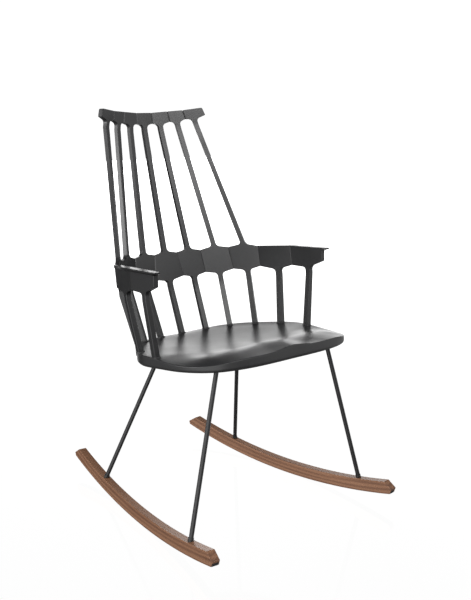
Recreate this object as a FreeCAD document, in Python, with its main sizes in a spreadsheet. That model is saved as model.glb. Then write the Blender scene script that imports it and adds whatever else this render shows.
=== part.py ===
import FreeCAD, Part
import math, os

os.makedirs("parts", exist_ok=True)
V = FreeCAD.Vector
Rot = FreeCAD.Rotation
Pl = FreeCAD.Placement

# Moulded plastic rocking chair: a faceted comb back with arms, a saddle seat,
# four straight steel rods and two bent wooden rockers.
# Drawing frame, mm: X to the sitter's left-right (symmetry plane X=0), -Y to the
# front, Z up; y=0 midway between the rod feet. The last lines of the sheet turn
# and shift the whole chair into its resting place on the floor.
doc = FreeCAD.newDocument("rocking_chair")
sheet = doc.addObject("Spreadsheet::Sheet", "dims")
ROWS = [
    # rockers: arc of constant section, splayed wider towards the front
    ("rocker_x", 246.3), ("rocker_toe", 6.559), ("rocker_low_s", 62.3), ("rocker_rad", 1653.0),
    ("rocker_high", 31.8), ("rocker_wide", 21.0),
    ("rocker_front_top", -312.0), ("rocker_front_nose", -334.5), ("rocker_front_low", -330.0),
    ("rocker_rear_top", 389.0), ("rocker_rear_nose", 417.5), ("rocker_rear_low", 414.0),
    ("nose_front_up", 11.5), ("nose_rear_up", 8.0),
    # rubber strip let into the underside
    ("tread_wide", 17.0), ("tread_deep", 7.0), ("tread_proud", 0.5),
    # rods: right-hand axis points, mirrored for the left
    ("rod_dia", 11.0), ("rod_wall", 1.5),
    ("front_lo_x", 279.4), ("front_lo_y", -225.9), ("front_lo_z", 30.0),
    ("front_hi_x", 175.1), ("front_hi_y", -193.8), ("front_hi_z", 420.0),
    ("rear_lo_x", 223.1), ("rear_lo_y", 230.3), ("rear_lo_z", 30.0),
    ("rear_hi_x", 119.6), ("rear_hi_y", 90.0), ("rear_hi_z", 420.0),
    # ferrules and their studs
    ("ferrule_dia", 13.2), ("ferrule_high", 9.0), ("stud_dia", 6.0), ("socket_deep", 3.0),
    ("foot_nut_flats", 10.0), ("foot_nut_high", 4.0), ("foot_washer_dia", 11.5), ("foot_washer_thick", 1.2),
    # seat slab, in its own tilted frame (x, v to the rear, w up)
    ("seat_y", -30.0), ("seat_z", 439.2), ("seat_slope", 7.4), ("skirt_deep", 28.5), ("seat_wall", 4.8),
    ("dish_deep", 9.5), ("crest_up", 2.5), ("crest_v", -170.0),
    ("pommel_up", 4.0), ("pommel_wide", 34.0),
    ("rib_thick", 2.6), ("rib_foot", -15.8), ("rib_pitch_x", 62.0), ("rib_first_v", -44.0), ("rib_pitch_v", 74.0),
    # tenon sockets and fixing bosses
    ("tenon_dia", 10.0), ("tenon_long", 17.0), ("socket_gap", 0.15), ("tenon_boss_dia", 17.0), ("boss_foot", -20.6),
    ("tenon_screw_dia", 4.0), ("tenon_screw_head", 8.0), ("tenon_screw_long", 17.0), ("tenon_washer_dia", 10.0),
    ("collar_up", 3.0), ("collar_grow", 2.0), ("foot_grow", 0.6),
    # steel under-frame
    ("bar_wide", 26.0), ("bar_thick", 3.5), ("bar_top", -16.0), ("bar_over", 22.0), ("cross_wide", 25.0),
    ("cross_front_v", -118.0), ("cross_rear_v", 88.0),
    ("frame_boss_dia", 16.0), ("frame_screw_dia", 6.0), ("frame_screw_head", 11.0), ("frame_washer_dia", 13.0),
    ("insert_dia", 8.4), ("insert_long", 8.0),
    # comb sections
    ("belt_thick", 12.5), ("crest_thick", 12.0),
    ("spin_wide", 14.0), ("spin_deep", 12.8), ("spin_wide_arm", 16.5), ("spin_deep_arm", 13.5), ("spin_chamfer", 1.6),
    ("edge_rise", 11.0), ("root_rad", 10.0), ("flange_out", 7.0), ("flange_high", 8.5), ("lip_fwd", 13.0),
    ("crest_end_slant", 6.5),
    # rest attitude and place
    ("rest_tilt", 0.875), ("shift_y", 65.65), ("drop_z", -0.5),
]
for n, (alias, val) in enumerate(ROWS, start=1):
    sheet.set("A%d" % n, alias)
    sheet.set("B%d" % n, repr(val))
    sheet.setAlias("B%d" % n, alias)
doc.recompute()
D = {a: float(getattr(sheet, a)) for a, _ in ROWS}
assert all(abs(D[a] - v) < 1e-9 for a, v in ROWS)

# whole-chair placement: tilt about the X axis through the rocker centre height, then shift
def rest_placement():
    c = V(0, D["rocker_low_s"] * math.cos(math.radians(D["rocker_toe"])), D["rocker_rad"])
    r = Rot(V(1, 0, 0), D["rest_tilt"])
    p = Pl(c, Rot()).multiply(Pl(V(0, 0, 0), r)).multiply(Pl(c.negative(), Rot()))
    # rolling without slipping keeps the arc on the floor; only a shift along Y follows
    return Pl(V(0, -D["shift_y"], -D["drop_z"]), Rot()).multiply(p)

G = rest_placement()
NODES = []

def publish(obj, label, place=None):
    """Give a finished sub-part its name and its place in the chair."""
    obj.Label = label
    base = place if place is not None else Pl()
    obj.Placement = G.multiply(base)
    NODES.append(obj)
    return obj

def feature(name, shape):
    o = doc.addObject("Part::Feature", name)
    o.Shape = shape
    return o

def cyl(p, q, r):
    d = q - p
    return Part.makeCylinder(r, d.Length, p, d)

def poly_solid(faces):
    """Closed solid from planar polygons; four-cornered faces that twist are split."""
    out = []
    for f in faces:
        pts = list(f)
        if len(pts) == 4:
            n = (pts[1] - pts[0]).cross(pts[2] - pts[0])
            if n.Length > 1e-9 and abs(n.normalize().dot(pts[3] - pts[0])) > 1e-6:
                out.append(Part.Face(Part.makePolygon([pts[0], pts[1], pts[2], pts[0]])))
                out.append(Part.Face(Part.makePolygon([pts[0], pts[2], pts[3], pts[0]])))
                continue
        out.append(Part.Face(Part.makePolygon(pts + [pts[0]])))
    shell = Part.makeShell(out)
    shell.sewShape()
    s = Part.Solid(shell)
    if s.Volume < 0:
        s.reverse()
    return s

def slab(front, back):
    """Solid between two polygons with matching corners."""
    n = len(front)
    def tri(poly, flip):
        n0 = V(0, 0, 0)
        for i in range(1, n - 1):
            n0 = n0 + (poly[i] - poly[0]).cross(poly[i + 1] - poly[0])
        n0.normalize()
        flat = all(abs(n0.dot(p - poly[0])) < 1e-5 for p in poly)
        if flat:
            return [poly if not flip else poly[::-1]]
        c = V(0, 0, 0)
        for p in poly:
            c = c + p
        c = c * (1.0 / n)
        fs = [[poly[i], poly[(i + 1) % n], c] for i in range(n)]
        return [f[::-1] for f in fs] if flip else fs
    faces = tri(front, False) + tri(back, True)
    for i in range(n):
        j = (i + 1) % n
        faces.append([front[i], back[i], back[j], front[j]])
    return poly_solid(faces)

# ------------------------------------------------------------------ rockers
TOE = math.radians(D["rocker_toe"])
RB, TH, SC = D["rocker_rad"], D["rocker_high"], D["rocker_low_s"]

def arc_pt(s, up):
    """Point of the rocker's own plane: s along the floor, up from the bottom arc."""
    r = RB - up
    a = math.asin((s - SC) / r)
    return s, RB - r * math.cos(a)

def rocker_frame(side):
    """Local x = s (to the rear), local y = inward or outward, local z = up."""
    ex = V(-side * math.sin(TOE), math.cos(TOE), 0)
    ez = V(0, 0, 1)
    ey = ez.cross(ex)
    m = FreeCAD.Matrix(ex.x, ey.x, ez.x, side * D["rocker_x"], ex.y, ey.y, ez.y, 0, ex.z, ey.z, ez.z, 0, 0, 0, 0, 1)
    return Pl(m)

def rocker_to_chair(side, s, z):
    return rocker_frame(side).multVec(V(s, 0, z))

def xz_plane(body):
    for f in body.Origin.OriginFeatures:
        if f.Role == "XZ_Plane":
            return f

def arc_through(a, b, c):
    return Part.ArcOfCircle(a, b, c)

def profile_sketch(body, name, pts, arcs):
    """Closed profile in the body's XZ plane. arcs maps an edge index to its mid point."""
    sk = body.newObject("Sketcher::SketchObject", name)
    sk.AttachmentSupport = [(xz_plane(body), "")]
    sk.MapMode = "FlatFace"
    n = len(pts)
    for i in range(n):
        a, b = pts[i], pts[(i + 1) % n]
        if i in arcs:
            m = arcs[i]
            sk.addGeometry(Part.ArcOfCircle(V(a[0], a[1], 0), V(m[0], m[1], 0), V(b[0], b[1], 0)), False)
        else:
            sk.addGeometry(Part.LineSegment(V(a[0], a[1], 0), V(b[0], b[1], 0)), False)
    return sk

def foot_on_top(side, which):
    """Where a rod axis meets the rocker's top arc, and the arc's normal there."""
    lo = V(side * D[which + "_lo_x"], D[which + "_lo_y"], D[which + "_lo_z"])
    hi = V(side * D[which + "_hi_x"], D[which + "_hi_y"], D[which + "_hi_z"])
    inv = rocker_frame(side).inverse()
    a, b = inv.multVec(lo), inv.multVec(hi)
    k0, k1 = 0.0, 0.3
    for _ in range(80):
        k = (k0 + k1) / 2
        p = a + (b - a) * k
        if math.hypot(p.x - SC, p.z - RB) > RB - TH:
            k0 = k
        else:
            k1 = k
    p = a + (b - a) * k
    nrm = V(SC - p.x, 0, RB - p.z)
    nrm.normalize()
    return p, nrm, lo, hi

def make_rocker(side, tag):
    body = doc.addObject("PartDesign::Body", "body_rocker_" + tag)
    ft, fn, fl = D["rocker_front_top"], D["rocker_front_nose"], D["rocker_front_low"]
    rt, rn, rl = D["rocker_rear_top"], D["rocker_rear_nose"], D["rocker_rear_low"]
    pts = [arc_pt(fl, 0), arc_pt(rl, 0), arc_pt(rn, D["nose_rear_up"]), arc_pt(rt, TH), arc_pt(ft, TH), arc_pt(fn, D["nose_front_up"])]
    arcs = {0: arc_pt(SC, 0), 3: arc_pt(SC, TH)}
    sk = profile_sketch(body, "profile_" + tag, pts, arcs)
    pad = body.newObject("PartDesign::Pad", "bar_" + tag)
    pad.Profile = sk
    pad.Midplane = True
    pad.setExpression("Length", "dims.rocker_wide")
    doc.recompute()
    v0 = body.Shape.Volume
    # groove for the rubber strip
    gd = D["tread_deep"]
    gp = [arc_pt(fl - 12, -3), arc_pt(rl + 12, -3), arc_pt(rl + 12, gd), arc_pt(fl - 12, gd)]
    ga = {0: arc_pt(SC, -3), 2: arc_pt(SC, gd)}
    sg = profile_sketch(body, "groove_" + tag, gp, ga)
    pk = body.newObject("PartDesign::Pocket", "tread_groove_" + tag)
    pk.Profile = sg
    pk.Midplane = True
    pk.setExpression("Length", "dims.tread_wide")
    doc.recompute()
    v1 = body.Shape.Volume
    assert v1 < v0 - 1000, "groove cut nothing"
    body.Tip = pk
    # stud holes and nut pockets, one pair per rod, square to the top arc
    base = body
    tools = []
    for which in ("front", "rear"):
        p, nrm, lo, hi = foot_on_top(side, which)
        p = V(p.x, 0, p.z)
        top = p + nrm * 5
        low = p - nrm * (TH + 6)
        tools.append(cyl(low, top, D["stud_dia"] / 2 + 0.1))
        depth = TH - gd - D["foot_nut_high"] - D["foot_washer_thick"] - 0.6
        tools.append(cyl(low, p - nrm * depth, D["foot_washer_dia"] / 2 + 0.3))
    holes = feature("rocker_holes_" + tag, Part.makeCompound(tools))
    cut = doc.addObject("Part::Cut", "cut_rocker_" + tag)
    cut.Base = body
    cut.Tool = holes
    doc.recompute()
    assert cut.Shape.Volume < v1 - 500, "stud holes cut nothing"
    return cut

def make_tread(side, tag):
    body = doc.addObject("PartDesign::Body", "body_tread_" + tag)
    fl, rl = D["rocker_front_low"] + 0.3, D["rocker_rear_low"] - 0.3
    pr, gd = -D["tread_proud"], D["tread_deep"] - 0.05
    # the strip ends follow the undercut ends of the bar
    kf = (D["rocker_front_nose"] - D["rocker_front_low"]) / D["nose_front_up"]
    kr = (D["rocker_rear_nose"] - D["rocker_rear_low"]) / D["nose_rear_up"]
    pts = [arc_pt(fl, pr), arc_pt(rl, pr), arc_pt(rl + kr * gd, gd), arc_pt(fl + kf * gd, gd)]
    arcs = {0: arc_pt(SC, pr), 2: arc_pt(SC, gd)}
    sk = profile_sketch(body, "strip_" + tag, pts, arcs)
    pad = body.newObject("PartDesign::Pad", "strip_pad_" + tag)
    pad.Profile = sk
    pad.Midplane = True
    pad.setExpression("Length", "dims.tread_wide - 0.1")
    body.Tip = pad
    doc.recompute()
    return body

for side, tag in ((-1, "left"), (1, "right")):
    publish(make_rocker(side, tag), "rocker_" + tag, rocker_frame(side))
    publish(make_tread(side, tag), "rocker_tread_" + tag, rocker_frame(side))

# ------------------------------------------------------------------ seat frame of reference
SA = math.radians(D["seat_slope"])
S = Pl(V(0, D["seat_y"], D["seat_z"]), Rot(V(1, 0, 0), -D["seat_slope"]))
S_INV = S.inverse()

def to_seat(p):
    return S_INV.multVec(p)

# half outline of the seat and the height of its rim above the slab plane: x, v, rim
RIM = [(0, 220.8, -2.5), (60.2, 214.9, -0.9), (120.7, 199.0, 1.8), (173.1, 163.1, 2.6), (209.2, 110.8, 2.6),
       (233.5, 70.0, 2.2), (247.0, 30.0, 1.4), (248.9, -10.0, -0.6), (247.8, -42.5, -3.8), (246.7, -76.1, -8.0),
       (243.1, -110.7, -11.0), (233.2, -144.7, -12.1), (216.8, -176.4, -11.0), (192.4, -202.4, -8.5),
       (160.2, -218.7, -4.5), (125.8, -228.2, -2.6), (92.3, -232.5, -2.7), (60.1, -233.8, -1.4), (29.4, -233.9, 2.6), (0, -233.6, 5.2)]
OUTLINE = [(x, v) for x, v, _ in RIM]

def outline_points(grow=0.0):
    half = OUTLINE
    full = [(x, v) for x, v in half] + [(-x, v) for x, v in half[-2:0:-1]]
    c = Part.BSplineCurve()
    c.interpolate(Points=[V(x, v, 0) for x, v in full], PeriodicFlag=True)
    if abs(grow) < 1e-9:
        return c
    n = 64
    a, b = c.FirstParameter, c.LastParameter
    pts = []
    for i in range(n):
        u = a + (b - a) * i / n
        p = c.value(u)
        t = c.tangent(u)[0]
        nrm = V(t.y, -t.x, 0)
        if nrm.dot(V(p.x, p.y, 0)) < 0:
            nrm = nrm.negative()
        nrm.normalize()
        pts.append(p + nrm * grow)
    c2 = Part.BSplineCurve()
    c2.interpolate(Points=pts, PeriodicFlag=True)
    return c2

def smooth(a, b, t):
    k = max(0.0, min(1.0, (t - a) / (b - a)))
    return k * k * (3 - 2 * k)

RIM_C = -10.0
RIM_A = [math.atan2(x, -(v - RIM_C)) for x, v, _ in RIM][::-1]      # 0 at the front
RIM_R = [math.hypot(x, v - RIM_C) for x, v, _ in RIM][::-1]
RIM_W = [w for _, _, w in RIM][::-1]

def rim_at(a, tab):
    """Smooth table look-up over the half turn, level at both ends."""
    a = min(max(a, 0.0), math.pi)
    for i in range(len(RIM_A) - 1):
        if a <= RIM_A[i + 1] + 1e-12:
            break
    def slope(k):
        if k == 0 or k == len(RIM_A) - 1:
            return 0.0
        return (tab[k + 1] - tab[k - 1]) / (RIM_A[k + 1] - RIM_A[k - 1])
    h = RIM_A[i + 1] - RIM_A[i]
    t = (a - RIM_A[i]) / h
    return ((2 * t ** 3 - 3 * t ** 2 + 1) * tab[i] + (t ** 3 - 2 * t ** 2 + t) * h * slope(i)
            + (-2 * t ** 3 + 3 * t ** 2) * tab[i + 1] + (t ** 3 - t ** 2) * h * slope(i + 1))

def top_height(x, v):
    """Height of the saddle surface above the slab plane."""
    x = abs(x)
    a = math.atan2(x, -(v - RIM_C))
    rho = math.hypot(x, v - RIM_C) / rim_at(a, RIM_R)
    w_rim = rim_at(a, RIM_W)
    inner = min(rho, 1.0)
    dish = -D["dish_deep"] * (1 - inner ** 2.3) ** 1.7
    crest = D["crest_up"] * math.exp(-((v - D["crest_v"]) / 55.0) ** 2) * (1 - smooth(150, 240, x))
    pommel = D["pommel_up"] * math.exp(-(x / D["pommel_wide"]) ** 2) * smooth(10, -190, v)
    body = dish + crest + pommel
    start = 0.62 if v < -60 else 0.62 + 0.2 * smooth(-60, 20, v)
    k = max(0.0, (rho - start) / (1 - start)) ** 2.0
    k = min(k, 1.6)
    rim_body = crest_edge(x, a)
    return body + k * (w_rim - rim_body)

def crest_edge(x, a):
    """The saddle's own height where it reaches the rim in this direction."""
    r = rim_at(a, RIM_R)
    xr, vr = r * math.sin(a), RIM_C - r * math.cos(a)
    return (D["crest_up"] * math.exp(-((vr - D["crest_v"]) / 55.0) ** 2) * (1 - smooth(150, 240, xr))
            + D["pommel_up"] * math.exp(-(xr / D["pommel_wide"]) ** 2) * smooth(10, -190, vr))

def surface_face(drop):
    nx, nv = 35, 33
    rows = []
    for i in range(nx):
        x = -300 + 600.0 * i / (nx - 1)
        rows.append([V(x, v, top_height(x, v) - drop) for v in [-275 + 540.0 * j / (nv - 1) for j in range(nv)]])
    s = Part.BSplineSurface()
    s.interpolate(rows)
    return s.toShape()

def seat_solid():
    out = Part.Face(Part.Wire([outline_points().toShape()]))
    out.translate(V(0, 0, -D["skirt_deep"]))
    block = out.extrude(V(0, 0, D["skirt_deep"] + 30))
    above = surface_face(0.0).extrude(V(0, 0, 120))
    top = block.cut(above)
    edge = [e for e in top.Edges if abs(e.BoundBox.ZMax + D["skirt_deep"]) < 1e-3]
    try:
        f = top.makeFillet(9.5, edge)
        if f.isValid() and f.Volume > 0.9 * top.Volume:
            top = f
    except Exception:
        pass
    inn = Part.Face(Part.Wire([outline_points(-D["seat_wall"]).toShape()]))
    inn.translate(V(0, 0, -D["skirt_deep"] - 2))
    room = inn.extrude(V(0, 0, D["skirt_deep"] + 40))
    above2 = surface_face(D["seat_wall"]).extrude(V(0, 0, 120))
    room = room.cut(above2)
    return top, room

# feet of the eleven lower spindles, on the slab plane, right half and centre
FEET = [(0, 180.5), (73.9, 171.5), (139.4, 148.8), (189.5, 99.5), (226.0, 36.0), (239.5, -51.5)]
def foot_seat(x, y):
    z = D["seat_z"] + (D["seat_y"] - y) * math.tan(SA)
    return to_seat(V(x, y, z))
FEET_S = [foot_seat(x, y) for x, y in FEET]
FEET_ALL = [(-p.x, p.y) for p in FEET_S[:0:-1]] + [(p.x, p.y) for p in FEET_S]

# fixing points of the steel frame, in the seat frame
def rod_axis(side, which):
    lo = V(side * D[which + "_lo_x"], D[which + "_lo_y"], D[which + "_lo_z"])
    hi = V(side * D[which + "_hi_x"], D[which + "_hi_y"], D[which + "_hi_z"])
    return lo, hi
def rod_at_w(side, which, w):
    lo, hi = rod_axis(side, which)
    a, b = to_seat(lo), to_seat(hi)
    k = (w - a.z) / (b.z - a.z)
    return a + (b - a) * k
BAR_LOW = D["bar_top"] - D["bar_thick"]
FP, RP = rod_at_w(1, "front", BAR_LOW), rod_at_w(1, "rear", BAR_LOW)
BAR_DIR = V(RP.x - FP.x, RP.y - FP.y, 0)
BAR_LEN = BAR_DIR.Length
BAR_DIR.normalize()
FIX = []
for side in (-1, 1):
    for k in (0.16, 0.52, 0.84):
        p = V(FP.x, FP.y, 0) + BAR_DIR * (k * BAR_LEN)
        FIX.append((side * p.x, p.y))

def mesh_centre(shape):
    """Centre of volume from a fine mesh, which is steadier here than the surface integrals."""
    pts, tris = shape.tessellate(0.3)
    vol, c = 0.0, V(0, 0, 0)
    for i, j, k in tris:
        a, b, d = pts[i], pts[j], pts[k]
        q = a.dot(b.cross(d)) / 6.0
        vol += q
        c = c + (a + b + d) * (q / 4.0)
    print("seat mesh volume", round(vol), "centre", c * (1.0 / vol))
    return c * (1.0 / vol)

def make_seat():
    top, room = seat_solid()
    shell = top.cut(room)
    adds = []
    for x, v in [q for q in FEET_ALL if q[0] >= 0]:
        adds.append(Part.makeCylinder(D["tenon_boss_dia"] / 2, -D["boss_foot"] + 2, V(x, v, D["boss_foot"]), V(0, 0, 1)))
    for x, v in [q for q in FIX if q[0] > 0]:
        adds.append(Part.makeCylinder(D["frame_boss_dia"] / 2, -D["bar_top"] + 12, V(x, v, D["bar_top"]), V(0, 0, 1)))
    rt = D["rib_thick"]
    for i in list(range(0, 4)) + list(range(-3, 0)):
        adds.append(Part.makeBox(rt, 460, 40, V(i * D["rib_pitch_x"] - rt / 2, -235, D["rib_foot"])))
    for x, v in [q for q in FEET_ALL if q[0] < 0]:
        adds.append(Part.makeCylinder(D["tenon_boss_dia"] / 2, -D["boss_foot"] + 2, V(x, v, D["boss_foot"]), V(0, 0, 1)))
    for x, v in [q for q in FIX if q[0] < 0]:
        adds.append(Part.makeCylinder(D["frame_boss_dia"] / 2, -D["bar_top"] + 12, V(x, v, D["bar_top"]), V(0, 0, 1)))
    for i in range(-2, 4):
        adds.append(Part.makeBox(520, rt, 40, V(-260, D["rib_first_v"] + i * D["rib_pitch_v"] - rt / 2, D["rib_foot"])))
    # every rib and boss is trimmed to the hollow
    inner = []
    for a in adds:
        c = a.common(room)
        assert c.Volume > 50, "a rib or boss misses the hollow"
        inner.append(c)
    shell = shell.multiFuse(inner)
    # collar pads under the spindle feet, just proud of the surface, and the tenon sockets
    tools = []
    for x, v in FEET_ALL:
        h = top_height(x, v)
        tools.append(Part.makeCylinder(D["tenon_dia"] / 2 + D["socket_gap"], 60, V(x, v, -D["tenon_long"] - 0.4), V(0, 0, 1)))
        tools.append(Part.makeCylinder(D["tenon_screw_dia"] / 2 + 0.25, 60, V(x, v, -40), V(0, 0, 1)))
    for x, v in FIX:
        tools.append(Part.makeCylinder(D["insert_dia"] / 2 + 0.05, D["insert_long"] + 0.3, V(x, v, D["bar_top"]), V(0, 0, 1)))
    for k in range(6):
        for side in ((1, -1) if k else (1,)):
            tools.append(collar_solid(k, 0.25, 40.0, side))
    shell = shell.cut(Part.makeCompound(tools))
    solids = sorted(shell.Solids, key=lambda s: s.Volume)
    assert abs(mesh_centre(solids[-1]).x) < 0.3, "seat halves differ: %r" % mesh_centre(solids[-1])
    return solids[-1]

def foot_seat_level(x, v):
    """Flat spot under each foot, a little below the saddle surface."""
    r = 5.0
    return min(top_height(x + r * math.cos(a), v + r * math.sin(a)) for a in [i * math.pi / 4 for i in range(8)]) - 0.4

# direction of each foot's flat inner face, taken from its belt facet (in the seat frame)
FOOT_DIR = [(1.0, 0.0), (0.983, -0.185), (0.836, -0.548), (0.605, -0.796), (0.231, -0.973), (0.067, -0.998)]

def foot_section(k, grow):
    """Spindle foot outline round its centre, in the seat frame: wide side along the facet."""
    arm = k >= 4
    w = (D["spin_wide_arm"] if arm else D["spin_wide"]) + D["foot_grow"] + grow
    d = (D["spin_deep_arm"] if arm else D["spin_deep"]) + D["foot_grow"] + grow
    c = D["spin_chamfer"]
    ux, uy = FOOT_DIR[k]
    h, b = w / 2, d / 2
    raw = [(-h + c * 0.5, b), (h - c * 0.5, b), (h, b - c), (h, -b + c), (h - c, -b), (-h + c, -b), (-h, -b + c), (-h, b - c)]
    # second axis points inwards, to the sitter
    nx, ny = uy, -ux
    if k == 0:
        nx, ny = 0.0, -1.0
    return [(p * ux + q * nx, p * uy + q * ny) for p, q in raw]

def collar_solid(k, grow, high, side=1):
    fs_ = FEET_S[k]
    lv = foot_seat_level(fs_.x, fs_.y)
    pts = [V(side * (fs_.x + a), fs_.y + b, lv) for a, b in foot_section(k, D["collar_grow"] + grow)]
    return Part.Face(Part.makePolygon(pts + [pts[0]])).extrude(V(0, 0, high))

seat = feature("seat_shape", make_seat())
publish(seat, "seat_shell", S)

# ------------------------------------------------------------------ rods and ferrules
def make_rod(side, which, tag):
    p, nrm, lo, hi = foot_on_top(side, which)
    rf = rocker_frame(side)
    foot = rf.multVec(p)
    d = (hi - lo)
    d.normalize()
    topw = rod_at_w(side, which, BAR_LOW)
    top = S.multVec(topw)
    # the rod starts inside the ferrule's socket and is cut flush under the bar
    start = foot + d * (D["ferrule_high"] - D["socket_deep"] + 0.02)
    end = top + d * 8
    c = doc.addObject("Part::Cylinder", "rod_bar_" + tag)
    c.setExpression("Radius", "dims.rod_dia / 2")
    c.Height = (end - start).Length
    c.Placement = Pl(start, Rot(V(0, 0, 1), d))
    b = doc.addObject("Part::Box", "rod_trim_" + tag)
    b.Length, b.Width, b.Height = 60, 60, 40
    b.Placement = S.multiply(Pl(V(topw.x - 30, topw.y - 30, BAR_LOW), Rot()))
    bore = doc.addObject("Part::Cylinder", "rod_bore_" + tag)
    bore.setExpression("Radius", "dims.rod_dia / 2 - dims.rod_wall")
    bore.Height = (end - start).Length + 20
    bore.Placement = Pl(start - d * 10, Rot(V(0, 0, 1), d))
    away = doc.addObject("Part::Fuse", "rod_away_" + tag)
    away.Base, away.Tool = b, bore
    cut = doc.addObject("Part::Cut", "rod_cut_" + tag)
    cut.Base, cut.Tool = c, away
    doc.recompute()
    return cut, foot, nrm, d, rf

def make_ferrule(side, which, tag, foot, nrm, d, rf):
    n = rf.Rotation.multVec(nrm)
    up = foot + n * 0.03
    body = Part.makeCylinder(D["ferrule_dia"] / 2, D["ferrule_high"] + 14, foot - d * 14, d)
    half = Part.makeBox(80, 80, 40, V(-40, -40, -40))
    half.Placement = Pl(up, Rot(V(0, 0, 1), n))
    body = body.cut(half)
    body = body.makeFillet(1.0, [e for e in body.Edges if e.CenterOfMass.distanceToPoint(foot + d * D["ferrule_high"]) < 1.0])
    stud_low = TH - D["tread_deep"] - 0.8
    stud = cyl(up - n * stud_low, up + n * 2.5, D["stud_dia"] / 2)
    body = body.fuse(stud)
    sock = cyl(foot + d * (D["ferrule_high"] - D["socket_deep"]), foot + d * 40, D["rod_dia"] / 2 + 0.05)
    body = body.cut(sock)
    return feature("ferrule_shape_" + tag, body.removeSplitter())

STUDS = []
for side, st in ((-1, "left"), (1, "right")):
    for which in ("front", "rear"):
        tag = which + "_" + st
        rod, foot, nrm, d, rf = make_rod(side, which, tag)
        publish(rod, "rod_" + tag)
        publish(make_ferrule(side, which, tag, foot, nrm, d, rf), "ferrule_" + tag)
        STUDS.append((foot, rf.Rotation.multVec(nrm)))

# nuts and washers on the studs, inside the pockets above the rubber strips
def hexagon(p, n, flats, high):
    r = flats / math.sqrt(3)
    rot = Rot(V(0, 0, 1), n)
    pts = [p + rot.multVec(V(r * math.cos(math.radians(60 * i)), r * math.sin(math.radians(60 * i)), 0)) for i in range(7)]
    return Part.Face(Part.makePolygon(pts)).extrude(n * high)

nuts, washers = [], []
for foot, n in STUDS:
    depth = TH - D["tread_deep"] - D["foot_nut_high"] - D["foot_washer_thick"] - 0.6
    seat_pt = foot - n * depth
    w = cyl(seat_pt - n * D["foot_washer_thick"], seat_pt - n * 0.02, D["foot_washer_dia"] / 2)
    w = w.cut(cyl(seat_pt - n * 5, seat_pt + n * 5, D["stud_dia"] / 2 + 0.2))
    washers.append(w)
    h = hexagon(seat_pt - n * (D["foot_washer_thick"] + 0.02 + D["foot_nut_high"]), n, D["foot_nut_flats"], D["foot_nut_high"])
    nuts.append(h.cut(cyl(seat_pt - n * 9, seat_pt + n * 9, D["stud_dia"] / 2 + 0.05)))
publish(feature("foot_nuts_shape", Part.makeCompound(nuts)), "stud_nuts")
publish(feature("foot_washers_shape", Part.makeCompound(washers)), "stud_washers")

# ------------------------------------------------------------------ steel under-frame
def bar_place(side, w):
    ang = math.degrees(math.atan2(BAR_DIR.y, side * BAR_DIR.x))
    o = V(side * FP.x, FP.y, w) - V(side * BAR_DIR.x, BAR_DIR.y, 0) * D["bar_over"]
    return Pl(o, Rot(V(0, 0, 1), ang))

def make_side_bar(side, tag):
    b = doc.addObject("Part::Box", "side_bar_" + tag)
    b.setExpression("Width", "dims.bar_wide")
    b.setExpression("Height", "dims.bar_thick")
    b.Length = BAR_LEN + 2 * D["bar_over"]
    pl = bar_place(side, BAR_LOW)
    b.Placement = pl.multiply(Pl(V(0, -D["bar_wide"] / 2, 0), Rot()))
    tools = []
    for x, v in FIX:
        if x * side > 0:
            tools.append(Part.makeCylinder(D["frame_screw_dia"] / 2 + 0.3, 20, V(x, v, BAR_LOW - 8), V(0, 0, 1)))
    t = feature("side_bar_holes_" + tag, Part.makeCompound(tools))
    c = doc.addObject("Part::Cut", "side_bar_cut_" + tag)
    c.Base, c.Tool = b, t
    doc.recompute()
    assert c.Shape.Volume < b.Shape.Volume - 100
    return c

for side, tag in ((-1, "left"), (1, "right")):
    publish(make_side_bar(side, tag), "frame_side_bar_" + tag, S)

def make_crossbar(v, name):
    """Flat bar cut to the slope of the side bars, butted between them."""
    hw = D["cross_wide"] / 2
    def edge_x(vv):
        k = (vv - FP.y) / BAR_DIR.y
        x = FP.x + BAR_DIR.x * k
        return x - (D["bar_wide"] / 2 + 0.02) / abs(BAR_DIR.y)
    a, b = edge_x(v - hw), edge_x(v + hw)
    pts = [V(-a, v - hw, BAR_LOW), V(a, v - hw, BAR_LOW), V(b, v + hw, BAR_LOW), V(-b, v + hw, BAR_LOW)]
    f = Part.Face(Part.makePolygon(pts + [pts[0]]))
    base = feature(name + "_blank", f)
    e = doc.addObject("Part::Extrusion", name + "_bar")
    e.Base = base
    e.DirMode = "Custom"
    e.Dir = V(0, 0, 1)
    e.setExpression("LengthFwd", "dims.bar_thick")
    e.Solid = True
    doc.recompute()
    return e

publish(make_crossbar(D["cross_front_v"], "cross_front"), "frame_crossbar_front", S)
publish(make_crossbar(D["cross_rear_v"], "cross_rear"), "frame_crossbar_rear", S)

# frame screws, washers and threaded inserts, one set per fixing point
def revolve_parts(places, radius_len):
    out = []
    for x, v in places:
        s = None
        for r, w0, w1 in radius_len:
            c = Part.makeCylinder(r, w1 - w0, V(x, v, w0), V(0, 0, 1))
            s = c if s is None else s.fuse(c)
        out.append(s.removeSplitter())
    return out

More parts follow.
